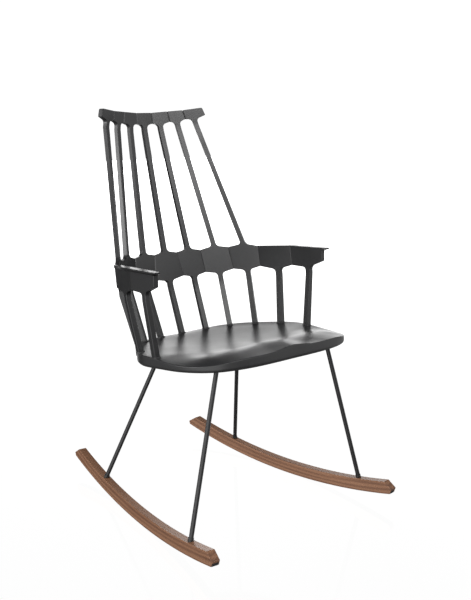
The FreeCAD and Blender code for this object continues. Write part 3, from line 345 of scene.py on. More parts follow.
def crease_low(tops, normals, lows):
    out = []
    for k in range(len(tops)):
        n1 = normals[k]
        if k + 1 < len(normals):
            d = unit(np.cross(n1, normals[k + 1]))
        else:
            d = A(0, 0, -1) - n1 * (-n1[2])
        if d[2] > 0:
            d = -d
        if abs(d[2]) < 0.3:
            d = unit(A(0, 0, -1) - n1 * (-n1[2]))
        out.append(tops[k] + d * ((lows[k] - tops[k][2]) / d[2]))
    return out


BN = facet_normals(BELT_TOP, BELT_LEAN)
BL = crease_low(BELT_TOP, BN, BELT_LOW_Z)
CN = facet_normals(CREST_TOP, CREST_LEAN)
CL = crease_low(CREST_TOP, CN, CREST_LOW_Z)
CL[3] = CL[3] + unit(CREST_TOP[3] - CREST_TOP[2]) * END_SLANT


def corners(k, tops, lows):
    at = flipx(tops[0]) if k == 0 else tops[k - 1]
    al = flipx(lows[0]) if k == 0 else lows[k - 1]
    return at, tops[k], lows[k], al


def lerp(a, b, f):
    return a + (b - a) * f


def mitre(n1, n2, t):
    return (n1 + n2) * (-t / (1 + n1 @ n2))


# saddle surface, in the seat frame
RIM = [(0, 220.8, -2.5), (60.2, 214.9, -0.9), (120.7, 199.0, 1.8), (173.1, 163.1, 2.6), (209.2, 110.8, 2.6),
       (233.5, 70.0, 2.2), (247.0, 30.0, 1.4), (248.9, -10.0, -0.6), (247.8, -42.5, -3.8), (246.7, -76.1, -8.0),
       (243.1, -110.7, -11.0), (233.2, -144.7, -12.1), (216.8, -176.4, -11.0), (192.4, -202.4, -8.5),
       (160.2, -218.7, -4.5), (125.8, -228.2, -2.6), (92.3, -232.5, -2.7), (60.1, -233.8, -1.4), (29.4, -233.9, 2.6), (0, -233.6, 5.2)]
RIM_C = -10.0
RIM_A = [math.atan2(x, -(v - RIM_C)) for x, v, _ in RIM][::-1]
RIM_R = [math.hypot(x, v - RIM_C) for x, v, _ in RIM][::-1]
RIM_W = [w for _, _, w in RIM][::-1]
DISH, CREST_UP, CREST_V, POMMEL, POMMEL_W = 9.5, 8.5, -155.0, 4.0, 34.0


def rim_at(a, tab):
    a = min(max(a, 0.0), math.pi)
    for i in range(len(RIM_A) - 1):
        if a <= RIM_A[i + 1] + 1e-12:
            break

    def slope(k):
        if k == 0 or k == len(RIM_A) - 1:
            return 0.0
        return (tab[k + 1] - tab[k - 1]) / (RIM_A[k + 1] - RIM_A[k - 1])

    h = RIM_A[i + 1] - RIM_A[i]
    t = (a - RIM_A[i]) / h
    return ((2 * t ** 3 - 3 * t ** 2 + 1) * tab[i] + (t ** 3 - 2 * t ** 2 + t) * h * slope(i)
            + (-2 * t ** 3 + 3 * t ** 2) * tab[i + 1] + (t ** 3 - t ** 2) * h * slope(i + 1))


def swell(x, v):
    return (CREST_UP * math.exp(-((v - CREST_V) / 55.0) ** 2) * (1 - smooth(175, 246, x))
            + POMMEL * math.exp(-(x / POMMEL_W) ** 2) * smooth(10, -190, v))


def top_height(x, v):
    x = abs(x)
    a = math.atan2(x, -(v - RIM_C))
    r = rim_at(a, RIM_R)
    rho = math.hypot(x, v - RIM_C) / r
    body = -DISH * (1 - min(rho, 1.0) ** 2.3) ** 1.7 + swell(x, v)
    start = 0.60 if v < -60 else 0.60 + 0.22 * smooth(-60, 20, v)
    k = min(max(0.0, (rho - start) / (1 - start)) ** (2.0 - 0.6 * smooth(20, -60, v)), 1.6)
    return body + k * (rim_at(a, RIM_W) - swell(r * math.sin(a), RIM_C - r * math.cos(a)))


FEET = [(0, 180.5), (73.9, 171.5), (139.4, 148.8), (189.5, 99.5), (226.0, 36.0), (239.5, -51.5)]
FEET_S = [to_seat(A(x, y, S0[2] + (S0[1] - y) * math.tan(SA))) for x, y in FEET]
FOOT_DIR = [(1.0, 0.0), (0.983, -0.185), (0.836, -0.548), (0.605, -0.796), (0.231, -0.973), (0.067, -0.998)]


def foot_level(x, v):
    return min(top_height(x + 5 * math.cos(q), v + 5 * math.sin(q)) for q in [i * math.pi / 4 for i in range(8)]) - 0.4


def foot_axes(k):
    ux, uy = FOOT_DIR[k]
    nx, ny = (0.0, -1.0) if k == 0 else (uy, -ux)
    return A(ux, uy), A(nx, ny)


def upper_dir(k):
    at, bt, bl, al = corners(k, CREST_TOP, CL)
    a2, b2, _, _ = corners(k, BELT_TOP, BL)
    return unit(lerp(al, bl, UP_F_CREST[k]) - lerp(a2, b2, UP_F_BELT[k]))


def lower_dir(k):
    f = seat_pt(FEET_S[k][0], FEET_S[k][1], 0) + BN[k] * (SPIN_D / 2)
    at, bt, bl, al = corners(k, BELT_TOP, BL)
    return unit(f - lerp(al, bl, LOW_F[k]))


NARC = 9


def root_side(m, e, o, ln, h, skew, sgn, rad=ROOT_R):
    """From the spindle's side down round the root arc to the facet's edge, on one side."""
    tn = math.tan(math.radians(RISE))
    up_k = (ln - h) * tn
    ang = math.radians(90 + RISE)
    t = rad * math.tan((math.pi - ang) / 2)
    cx, cy = sgn * (h + rad), up_k + t
    sweep = math.pi - ang
    pts, ws = [], []
    seq = [(sgn * h, up_k + t + 9.0), (sgn * h, up_k + t + 3.5)]
    wts = [1.0, 1.0]
    for i in range(NARC):
        q = sweep * i / (NARC - 1)
        seq.append((cx - sgn * rad * math.cos(q), cy - rad * math.sin(q)))
        wts.append(1.0 - smooth(0.05, 0.95, i / (NARC - 1)))
    for a, b in seq:
        s = skew * max(0.0, b - up_k) * min(1.0, max(0.0, 1.0 - (abs(a) - h) / rad))
        pts.append(m + e * (a + s) + o * b)
    return pts, wts


class Sheet:
    """Front polygons with a matching back point for every vertex, closed into a solid with eased edges."""

    def __init__(self):
        self.F, self.B, self.W, self.faces, self.key = [], [], [], [], {}

    def v(self, f, b, w=0.0):
        k = (round(f[0], 3), round(f[1], 3), round(f[2], 3))
        if k in self.key:
            i = self.key[k]
            self.W[i] = max(self.W[i], w)
            return i
        self.key[k] = len(self.F)
        self.F.append(np.array(f, float))
        self.B.append(np.array(b, float))
        self.W.append(w)
        return len(self.F) - 1

    def face(self, ids):
        out = [i for n, i in enumerate(ids) if i != ids[n - 1]]
        if len(out) > 2:
            self.faces.append(out)

    def mirrored(self):
        n = len(self.F)
        m = []
        for i in range(n):
            if abs(self.F[i][0]) < 1e-4:
                m.append(i)
            else:
                m.append(len(self.F))
                self.F.append(flipx(self.F[i]))
                self.B.append(flipx(self.B[i]))
                self.W.append(self.W[i])
        self.faces += [[m[i] for i in reversed(f)] for f in self.faces]

    def solid(self, fine, bold):
        """fine and bold: (front inset, front depth, back inset, back depth) for thin edges and for spindles."""
        F, B, W = np.array(self.F), np.array(self.B), self.W
        nxt, own = {}, {}
        edges = set()
        for f in self.faces:
            for a, b in zip(f, f[1:] + f[:1]):
                edges.add((a, b))
        normals = {}
        for f in self.faces:
            n = np.zeros(3)
            for i in range(1, len(f) - 1):
                n += np.cross(F[f[i]] - F[f[0]], F[f[i + 1]] - F[f[0]])
            n = n / (np.linalg.norm(n) + 1e-12)
            for a, b in zip(f, f[1:] + f[:1]):
                if (b, a) not in edges:
                    nxt[a] = b
                    own[a] = n
        verts = [p for p in F] + [p for p in B]
        nb = len(F)
        front = list(range(nb))
        back = [i + nb for i in range(nb)]
        faces = []
        seen = set()
        for start in list(nxt):
            if start in seen:
                continue
            loop = [start]
            seen.add(start)
            while nxt[loop[-1]] != start:
                loop.append(nxt[loop[-1]])
                seen.add(loop[-1])
            L = len(loop)
            outs = []
            for i in range(L):
                a, b = loop[i], loop[(i + 1) % L]
                outs.append(unit(np.cross(F[b] - F[a], own[a])))
            rows = []
            for i in range(L):
                v = loop[i]
                o1, o2 = outs[i - 1], outs[i]
                o = (o1 + o2) / max(0.45, 1 + o1 @ o2)
                T = np.linalg.norm(B[v] - F[v])
                d = (B[v] - F[v]) / T
                w = W[v]
                cf, df, cb, db = [fine[q] + (bold[q] - fine[q]) * w for q in range(4)]
                pr = [(cf * 1.08, 0.0), (cf * 0.80, df * 0.10), (cf * 0.10, df * 0.84), (0.0, df * 1.12),
                      (0.0, T - db * 1.12), (cb * 0.10, T - db * 0.84), (cb * 0.80, T - db * 0.10), (cb * 1.08, T)]
                ids = []
                for ci, dp in pr:
                    ids.append(len(verts))
                    verts.append(F[v] + d * dp - o * ci)
                front[v], back[v] = ids[0], ids[-1]
                rows.append(ids)
            for i in range(L):
                p, q = rows[i], rows[(i + 1) % L]
                for j in range(len(p) - 1):
                    faces.append([p[j], p[j + 1], q[j + 1], q[j]])
        for f in self.faces:
            faces.append([front[i] for i in f])
            faces.append([back[i] for i in reversed(f)])
        return verts, faces


def crease_verts(sh, c, n1, n2, e1, e2, wide, deep, t, drop):
    """Three front vertices across an engraved crease, each with its back point. drop lowers the mid one."""
    m = unit(n1 + n2)
    back_c = c + mitre(n1, n2, t)
    a = sh.v(c - e1 * wide / 2, c - e1 * wide / 2 - n1 * t)
    cc = sh.v(c - m * deep + drop, back_c + drop)
    b = sh.v(c + e2 * wide / 2, c + e2 * wide / 2 - n2 * t)
    return a, cc, b


def facet_dirs(k, tops, normals):
    at = flipx(tops[0]) if k == 0 else tops[k - 1]
    e = unit(tops[k] - at)
    up = np.cross(normals[k], e)
    return e, (up if up[2] > 0 else -up)


def build_comb():
    sh = Sheet()
    up_root = {}
    for band in ("belt", "crest"):
        tops, lows, nrm, t = (BELT_TOP, BL, BN, BELT_T) if band == "belt" else (CREST_TOP, CL, CN, CREST_T)
        wide, deep, notch = (2.4, 0.9, 0.7) if band == "belt" else (3.8, 1.6, 1.7)
        last = len(tops) - 1
        dirs = [facet_dirs(k, tops, nrm) for k in range(last + 1)]
        cr_top, cr_low = {}, {}
        for k in range(last):
            e1, e2 = dirs[k][0], dirs[k + 1][0]
            cr_top[k] = crease_verts(sh, tops[k], nrm[k], nrm[k + 1], e1, e2, wide, deep, t, A(0, 0, -notch))
            cr_low[k] = crease_verts(sh, lows[k], nrm[k], nrm[k + 1], e1, e2, wide, deep, t, A(0, 0, notch * 0.4))
            sh.face([cr_top[k][0], cr_low[k][0], cr_low[k][1], cr_top[k][1]])
            sh.face([cr_top[k][1], cr_low[k][1], cr_low[k][2], cr_top[k][2]])
        for k in range(last + 1):
            n = nrm[k]
            e, up = dirs[k]
            at, bt, bl, al = corners(k, tops, lows)

            def V(p, w=0.0):
                return sh.v(p, p - n * t, w)

            # outline of the facet, from the inner top corner outwards and back along the bottom
            top_ids, low_ids = [], []
            if k > 0:
                top_ids.append(cr_top[k - 1][2])
            has_up = band == "belt" and k < 4
            if has_up:
                m = lerp(at, bt, UP_F_BELT[k])
                ln = np.linalg.norm(bt - at)
                d = upper_dir(k)
                skew = (d @ e) / (d @ up)
                ends = []
                for sgn, l2 in ((-1, ln * UP_F_BELT[k]), (1, ln * (1 - UP_F_BELT[k]))):
                    pts, ws = root_side(m, e, up, l2, SPIN_W / 2, skew, sgn)
                    ids = [V(p, w) for p, w in zip(pts, ws)] if not (k == 0 and sgn < 0) else None
                    ends.append((ids, pts))
                if k == 0:
                    mid = (ends[0][1][0] + ends[1][1][0]) / 2
                    up_root[k] = (V(A(0, mid[1], mid[2]), 1.0), ends[1][0][0])
                    top_ids += [up_root[k][0]] + ends[1][0]
                else:
                    up_root[k] = (ends[0][0][0], ends[1][0][0])
                    top_ids += ends[0][0][::-1] + ends[1][0]
            elif k == 0:
                m = (at + bt) / 2
                top_ids.append(V(A(0, m[1], m[2])))
            if k < last:
                top_ids.append(cr_top[k][0])
            # outer end
            if k == last:
                low = bl - al
                low = unit(low - n * (low @ n))
                side = unit(bl - bt)
                if band == "crest":
                    r = 3.2
                    for q in range(5):
                        g = q / 4 * math.pi / 2
                        top_ids.append(V(bt - e * r * (1 - math.sin(g)) + side * r * (1 - math.cos(g))))
                    for q in range(4):
                        g = q / 3 * math.pi / 2
                        low_ids.append(V(bl - side * 1.6 * (1 - math.sin(g)) - low * 1.6 * (1 - math.cos(g))))
                else:
                    top_ids.append(V(bt))
                    low_ids += [V(bl - side * 2.2), V(bl - side * 0.7 - low * 1.1), V(bl - low * 3.8)]
            else:
                low_ids.append(cr_low[k][0])
            # lower roots
            g = bl - al
            g = unit(g - n * (g @ n))
            dn = np.cross(n, g)
            if dn[2] > 0:
                dn = -dn
            f = LOW_F[k] if band == "belt" else UP_F_CREST[k]
            wide_sp = ARM_W if (band == "belt" and k >= 4) else SPIN_W
            d = lower_dir(k) if band == "belt" else -upper_dir(k)
            m = lerp(al, bl, f)
            m = m - n * ((m - at) @ n)
            gl = bl - al
            ln = np.linalg.norm(gl - n * (gl @ n))
            skew = (d @ g) / (d @ dn)
            ends = []
            for sgn, l2 in ((-1, ln * f), (1, ln * (1 - f))):
                pts, ws = root_side(m, g, dn, l2, wide_sp / 2, skew, sgn)
                ids = [V(p, w) for p, w in zip(pts, ws)] if not (k == 0 and sgn < 0) else None
                ends.append((ids, pts))
            low_ids += ends[1][0][::-1]
            if k == 0:
                mid = (ends[0][1][0] + ends[1][1][0]) / 2
                root = (V(A(0, mid[1], mid[2]), 1.0), ends[1][0][0])
                low_ids.append(root[0])
            else:
                root = (ends[0][0][0], ends[1][0][0])
                low_ids += ends[0][0]
            if k > 0:
                low_ids.append(cr_low[k - 1][2])
            ring = top_ids + low_ids
            sh.face(ring[::-1])
            # spindles, in three lengths so that the faces can follow the slight twist
            if band == "belt":
                arm = k >= 4
                w_, d_ = (ARM_W, ARM_D) if arm else (SPIN_W, SPIN_D)
                x, v = FEET_S[k][0], FEET_S[k][1]
                u2, n2 = foot_axes(k)
                lv = foot_level(x, v) - 3.5
                end = []
                for a in ((0.0, 1.0) if k == 0 else (-1.0, 1.0)):
                    o = u2 * a * (w_ + 0.6) / 2
                    f_ = n2 * (d_ + 0.6) / 2
                    end.append((seat_pt(x + o[0] + f_[0], v + o[1] + f_[1], lv), seat_pt(x + o[0] - f_[0], v + o[1] - f_[1], lv)))
                span(sh, root, end)
            else:
                a, b = up_root[k]
                span(sh, root, [(sh.F[a], sh.B[a]), (sh.F[b], sh.B[b])], (a, b))
    sh.mirrored()
    return sh.solid((0.55, 0.6, 0.7, 0.7), (1.0, 1.3, 1.2, 1.2))


def span(sh, root, end, ids=None, steps=6):
    """Front faces of one spindle from its root to its other end."""
    prev = root
    for i in range(1, steps + 1):
        f = i / steps
        if i == steps and ids is not None:
            cur = ids
        else:
            cur = tuple(sh.v(lerp(sh.F[root[j]], end[j][0], f), lerp(sh.B[root[j]], end[j][1], f), 1.0) for j in (0, 1))
        sh.face([prev[0], cur[0], cur[1], prev[1]])
        prev = cur


def flange():
    """Top plate of the arm: an outward flange that runs past the front end as a thin lip."""
    t = BELT_T

    def outer(k):
        n2 = BN[k + 1] if k + 1 < len(BN) else BN[k]
        return BELT_TOP[k] + mitre(BN[k], n2, t)

    P = [outer(3), outer(4), outer(5)]
    fwd = unit(P[2] - P[1])
    stations = []
    for i in range(9):
        f = i / 8
        stations.append((lerp(P[0], P[1], f), unit(BN[4] * (1 - 0.5 * smooth(0.7, 1, f)) + BN[5] * 0.5 * smooth(0.7, 1, f)), 1.6 + 5.4 * smooth(0, 1, f), 8.5, 0.0))
    for i in range(1, 9):
        f = i / 8
        stations.append((lerp(P[1], P[2], f), unit(BN[4] * 0.5 * (1 - smooth(0, 0.3, f)) + BN[5] * (1 - 0.5 * (1 - smooth(0, 0.3, f)))), 7.0, 8.5, 0.0))
    for i in range(1, 7):
        f = i / 6
        stations.append((P[2] + fwd * 12.8 * f, BN[5], 7.0 - 3.6 * f ** 1.5, 8.5 - 2.1 * smooth(0, 0.3, f) - 2.2 * smooth(0.25, 1, f), 2.2 * f ** 2))
    verts, faces = [], []
    for p, n, reach, high, pull in stations:
        o = unit(A(-n[0], -n[1], 0))
        q = p + A(0, 0, 1.1)
        inn = q - o * (t - 0.9 - pull)
        e = 0.8
        lipd = min(3.0, high * 0.42)
        ring = [inn + A(0, 0, -0.25), inn + o * 0.4, q + o * (reach - e), q + o * (reach - 0.2) - A(0, 0, 0.25), q + o * reach - A(0, 0, e),
                q + o * reach - A(0, 0, lipd), q + o * (reach - 0.35) - A(0, 0, lipd + 0.4), q + o * min(0.35, reach) - A(0, 0, high), inn + A(0, 0, -high)]
        verts += ring
    n = 9
    for s in range(len(stations) - 1):
        for i in range(n):
            j = (i + 1) % n
            faces.append([s * n + i, s * n + j, (s + 1) * n + j, (s + 1) * n + i])
    faces.append(list(range(n))[::-1])
    faces.append([(len(stations) - 1) * n + i for i in range(n)])
    return verts, faces


cv, cf = build_comb()
fv, ff = flange()
allv, allf = list(cv), list(cf)
for flip in (False, True):
    base = len(allv)
    allv += [flipx(p) if flip else p for p in fv]
    allf += [[base + i for i in (f[::-1] if flip else f)] for f in ff]
comb = make("comb", place(allv), allf, MOULD, ["back_comb"], 30.0)
wn = comb.modifiers.new("flat_facets", "WEIGHTED_NORMAL")
wn.keep_sharp, wn.weight = True, 50

# ------------------------------------------------------------------ seat
SKIRT, WALL, FILLET = 28.5, 4.8, 9.5


def seat_mesh():
    NA, NR = 288, 46
    verts, faces = [], []
    rows = []
    angs = [2 * math.pi * i / NA for i in range(NA)]

    def r_at(q):
        q = q % (2 * math.pi)
        return rim_at(min(q, 2 * math.pi - q), RIM_R)

    R = [r_at(q) for q in angs]
    outward = []
    for i in range(NA):
        a, b = angs[i - 1], angs[(i + 1) % NA]
        pa = A(R[i - 1] * math.sin(a), RIM_C - R[i - 1] * math.cos(a))
        pb = A(R[(i + 1) % NA] * math.sin(b), RIM_C - R[(i + 1) % NA] * math.cos(b))
        tg = unit(pb - pa)
        o = A(-tg[1], tg[0])
        p = A(math.sin(angs[i]), -math.cos(angs[i]))
        outward.append(o if o @ p > 0 else -o)

    def xy(i, rho=1.0, inset=0.0):
        p = A(R[i] * rho * math.sin(angs[i]), RIM_C - R[i] * rho * math.cos(angs[i]))
        return p - outward[i] * inset

    def ring(fn):
        ids = []
        for i in range(NA):
            x, v, w = fn(i)
            ids.append(len(verts))
            verts.append(seat_pt(x, v, w))
        return ids

    # top surface, denser near the rim
    for j in range(1, NR + 1):
        f = j / NR
        rho = 1 - (1 - f) ** 1.25
        last_in = 1.6

        def fn(i, rho=rho):
            p = xy(i, rho) if rho < 0.9999 else xy(i, 1.0, last_in)
            q = xy(i, min(rho, 0.9999))
            if rho > 0.9:
                k = (rho - 0.9) / 0.1
                p = xy(i, rho, last_in * k)
            return p[0], p[1], top_height(p[0], p[1])
        rows.append(ring(fn))
    rim_w = [top_height(*xy(i, 0.9999)) for i in range(NA)]
    # eased rim
    for ins, dz in ((1.0, 0.12), (0.45, 0.45), (0.12, 1.0), (0.0, 1.8)):
        rows.append(ring(lambda i: (*xy(i, 1.0, ins), rim_w[i] - dz)))
    for f in (0.25, 0.5, 0.75, 1.0):
        rows.append(ring(lambda i: (*xy(i), (rim_w[i] - 1.8) * (1 - f) + (-SKIRT + FILLET) * f)))
    qmax = math.acos((FILLET - WALL) / FILLET)
    for s in range(1, 9):
        q = qmax * s / 8
        rows.append(ring(lambda i: (*xy(i, 1.0, FILLET * (1 - math.cos(q))), -SKIRT + FILLET - FILLET * math.sin(q))))
    wb = -SKIRT + FILLET - FILLET * math.sin(qmax)
    rows.append(ring(lambda i: (*xy(i, 1.0, WALL + 0.5), wb + 0.25)))
    rows.append(ring(lambda i: (*xy(i, 1.0, WALL + 0.7), wb + 1.0)))
    under_in = WALL + 0.7
    rows.append(ring(lambda i: (*xy(i, 1.0, under_in), top_height(*xy(i, 1.0, under_in)) - WALL - 1.5)))
    # underside
    for rho in (0.93, 0.85, 0.75, 0.65, 0.5, 0.35, 0.2, 0.08):
        rows.append(ring(lambda i: (*xy(i, rho), top_height(*xy(i, rho)) - WALL)))
    for a, b in zip(rows[:-1], rows[1:]):
        for i in range(NA):
            j = (i + 1) % NA
            faces.append([a[i], a[j], b[j], b[i]])
    c_top = len(verts)
    verts.append(seat_pt(0, RIM_C, top_height(0, RIM_C)))
    c_bot = len(verts)
    verts.append(seat_pt(0, RIM_C, top_height(0, RIM_C) - WALL))
    for i in range(NA):
        j = (i + 1) % NA
        faces.append([c_top, rows[0][j], rows[0][i]])
        faces.append([c_bot, rows[-1][i], rows[-1][j]])
    return verts, faces, xy, R


def box_strip(pts_top, pts_bot, half, across):
    """Thin rib: follows pts_top and pts_bot, half thickness along across."""
    verts, faces = [], []
    ch = 0.5
    for a, b in zip(pts_top, pts_bot):
        d = unit(a - b)
        verts += [a - across * half, b + d * ch - across * half, b - across * (half - ch), b + across * (half - ch), b + d * ch + across * half, a + across * half]
    n = len(pts_top)
    for i in range(n - 1):
        for q in range(6):
            r = (q + 1) % 6
            faces.append([i * 6 + q, i * 6 + r, (i + 1) * 6 + r, (i + 1) * 6 + q])
    faces.append([0, 1, 2, 3, 4, 5][::-1])
    faces.append([(n - 1) * 6 + q for q in range(6)])
    return verts, faces


def lathe(base, axis, profile, n=32, caps=True, start=None):
    """Solid of revolution: profile is (radius, height) along the axis."""
    axis = unit(axis)
    ref = A(1, 0, 0) if abs(axis[0]) < 0.8 else A(0, 1, 0)
    u = unit(np.cross(axis, ref))
    v = np.cross(axis, u)
    verts, faces = [], []
    for r, h in profile:
        for i in range(n):
            q = 2 * math.pi * i / n
            verts.append(base + axis * h + (u * math.cos(q) + v * math.sin(q)) * r)
    for s in range(len(profile) - 1):
        for i in range(n):
            j = (i + 1) % n
            faces.append([s * n + i, s * n + j, (s + 1) * n + j, (s + 1) * n + i])
    if caps:
        faces.append(list(range(n))[::-1])
        faces.append([(len(profile) - 1) * n + i for i in range(n)])
    else:
        m = (len(profile) - 1) * n
        for i in range(n):
            j = (i + 1) % n
            faces.append([m + i, m + j, j, i])
    return verts, faces


def join(store, part):
    v, f = part
    b = len(store[0])
    store[0].extend(v)
    store[1].extend([[b + i for i in q] for q in f])


sv, sf, seat_xy, seat_R = seat_mesh()
seat = (list(sv), list(sf))


def inside_half(x, v):
    a = math.atan2(abs(x), -(v - RIM_C))
    return rim_at(a, RIM_R) - WALL - math.hypot(x, v - RIM_C)


def rib(fixed, along_v):
    """Rib at a fixed x (along_v) or a fixed v, as long as the hollow allows."""
    ts = np.linspace(-250, 250, 501)
    ok = [t for t in ts if inside_half(*((fixed, t) if along_v else (t, fixed))) > -1.5]
    line = np.linspace(min(ok), max(ok), 41)
    tops, bots = [], []
    for t in line:
        x, v = (fixed, t) if along_v else (t, fixed)
        tops.append(seat_pt(x, v, top_height(x, v) - WALL + 0.8))
        bots.append(seat_pt(x, v, -15.8))
    across = A(1, 0, 0) if along_v else unit(seat_pt(0, 1, 0) - seat_pt(0, 0, 0))
    return box_strip(tops, bots, 1.3, across)


for i in range(-3, 4):
    join(seat, rib(i * 62.0, True))
for i in range(-2, 4):
    join(seat, rib(-44.0 + i * 74.0, False))
WN = unit(seat_pt(0, 0, 1) - seat_pt(0, 0, 0))
FEET_ALL = [(-p[0], p[1]) for p in FEET_S[:0:-1]] + [(p[0], p[1]) for p in FEET_S]


def rod_line(side, which):
    lo = A(279.4, -225.9, 30.0) if which == "front" else A(223.1, 230.3, 30.0)
    hi = A(175.1, -193.8, 420.0) if which == "front" else A(119.6, 90.0, 420.0)
    return A(side * lo[0], lo[1], lo[2]), A(side * hi[0], hi[1], hi[2])


BAR_LOW = -19.5


def rod_at_w(side, which, w):
    lo, hi = rod_line(side, which)
    a, b = to_seat(lo), to_seat(hi)
    return a + (b - a) * ((w - a[2]) / (b[2] - a[2]))


FP, RP = rod_at_w(1, "front", BAR_LOW), rod_at_w(1, "rear", BAR_LOW)
bar_dir = A(RP[0] - FP[0], RP[1] - FP[1])
FIX = []
for side in (-1, 1):
    for k in (0.16, 0.52, 0.84):
        FIX.append((side * (FP[0] + bar_dir[0] * k), FP[1] + bar_dir[1] * k))
for x, v in FEET_ALL:
    top = top_height(x, v) - WALL + 0.8
    join(seat, lathe(seat_pt(x, v, -20.6), WN, [(2.25, 0.0), (8.0, 0.0), (8.5, 0.5), (8.5, top + 20.6), (2.25, top + 20.6)], 36, caps=False))
for x, v in FIX:
    top = top_height(x, v) - WALL + 0.8
    join(seat, lathe(seat_pt(x, v, -16.0), WN, [(4.25, 0.0), (7.5, 0.0), (8.0, 0.5), (8.0, top + 16.0), (4.25, top + 16.0)], 36, caps=False))


def collar(k, side):
    """Raised eight-sided collar round a spindle foot, part of the comb's moulding."""
    arm = k >= 4
    w, d, c = ((ARM_W if arm else SPIN_W) + 3.8) / 2, ((ARM_D if arm else SPIN_D) + 3.8) / 2, 3.0
    u2, n2 = foot_axes(k)
    raw = [(-w + c * 0.5, d), (w - c * 0.5, d), (w, d - c), (w, -d + c), (w - c, -d), (-w + c, -d), (-w, -d + c), (-w, d - c)]
    x, v = FEET_S[k][0], FEET_S[k][1]
    lv = foot_level(x, v)
    verts, faces = [], []
    prof = ((0.0, -3.0), (0.0, 1.5), (0.2, 1.95), (1.45, 3.0), (1.85, 3.15))
    for ins, h in prof:
        for a, b in raw:
            s = 1 - ins / max(abs(a), abs(b))
            o = u2 * a * s + n2 * b * s
            verts.append(seat_pt(side * (x + o[0]), v + o[1], lv + h))
    n = 8
    for s in range(len(prof) - 1):
        for i in range(n):
            j = (i + 1) % n
            faces.append([s * n + i, s * n + j, (s + 1) * n + j, (s + 1) * n + i])
    faces.append(list(range(n))[::-1])
    faces.append([(len(prof) - 1) * n + i for i in range(n)])
    return verts, faces


for k in range(6):
    for side in ((1, -1) if k else (1,)):
        join(seat, collar(k, side))
make("seat", place(seat[0]), seat[1], SADDLE, ["seat_shell"], 34.0)

# ------------------------------------------------------------------ rockers
FT, FN, FL, RT, RN, RL = -312.0, -334.5, -330.0, 389.0, 417.5, 414.0
UPF, UPR = 11.5, 8.0


def arc_pt(s, up):
    r = RB - up
    return s, RB - r * math.cos(math.asin((s - SC) / r))


def rocker_world(side, s, y, z):
    ex = A(-side * math.sin(TOE), math.cos(TOE), 0)
    ey = np.cross(A(0, 0, 1), ex)
    return A(side * RX, 0, 0) + ex * s + ey * y + A(0, 0, z)


def s_end(up, front):
    if front:
        return FL + (FN - FL) * up / UPF if up <= UPF else FN + (FT - FN) * (up - UPF) / (TH - UPF)
    return RL + (RN - RL) * up / UPR if up <= UPR else RN + (RT - RN) * (up - UPR) / (TH - UPR)


def rocker(side, name, node):
    hw, gw, gd = 10.5, 8.5, 7.0
    levels = [0.0, gd, UPR, UPF, 21.0, TH]
    left = [(-gw, gd), (-gw, 0.0)] + [(-hw, u) for u in levels]
    ring = left + [(-y, u) for y, u in left[::-1]]
    n = len(ring)
    NS = 96
    verts, grain, faces = [], [], []
    for i in range(NS + 1):
        f = i / NS
        for y, up in ring:
            s0, s1 = s_end(up, True), s_end(up, False)
            s = s0 + (s1 - s0) * f
            _, z = arc_pt(s, up)
            verts.append(rocker_world(side, s, y, z))
            grain.append((s / 1000.0 + (0.0 if side < 0 else 3.7), y / 1000.0, up / 1000.0))
    for i in range(NS):
        for j in range(n):
            k = (j + 1) % n
            faces.append([i * n + j, i * n + k, (i + 1) * n + k, (i + 1) * n + j])
    L = {0.0: 2, gd: 3, UPR: 4, UPF: 5, 21.0: 6, TH: 7}

    def cap(o, split):
        r = lambda j: n - 1 - j
        fs = [[o + 0, o + 1, o + 2, o + 3], [o + r(0), o + r(1), o + r(2), o + r(3)]]
        ks = [gd, UPR, UPF, 21.0, TH]
        cut = ks.index(split)
        lo, hi = ks[:cut + 1], ks[cut:]
        fs.append([o + L[q] for q in lo] + [o + r(L[q]) for q in lo[::-1]] + [o + r(0), o + 0])
        fs.append([o + L[q] for q in hi] + [o + r(L[q]) for q in hi[::-1]])
        return fs
    faces += cap(0, UPF) + cap(NS * n, UPR)
    me = bpy.data.meshes.new(name)
    me.from_pydata([tuple(p) for p in place(verts)], [], faces)
    me.validate()
    at = me.attributes.new("grain", "FLOAT_VECTOR", "POINT")
    at.data.foreach_set("vector", np.array(grain, np.float32).ravel())
    import bmesh
    bm = bmesh.new()
    bm.from_mesh(me)
    bmesh.ops.recalc_face_normals(bm, faces=bm.faces)
    bw = bm.edges.layers.float.new("bevel_weight_edge")
    for ed in bm.edges:
        if len(ed.link_faces) == 2 and ed.calc_face_angle() > math.radians(20):
            ed[bw] = 1.0
    bm.to_mesh(me)
    bm.free()
    me.polygons.foreach_set("use_smooth", [True] * len(me.polygons))
    me.materials.append(WOOD)
    ob = bpy.data.objects.new(name, me)
    SCN.collection.objects.link(ob)
    bv = ob.modifiers.new("eased_edges", "BEVEL")
    bv.limit_method, bv.width, bv.segments, bv.use_clamp_overlap = "WEIGHT", 0.0009, 3, True
    bv.harden_normals = True
    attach(ob, "root")
    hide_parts(node)
    return ob


rocker(-1, "rocker_bow_left", "rocker_left")
rocker(1, "rocker_bow_right", "rocker_right")


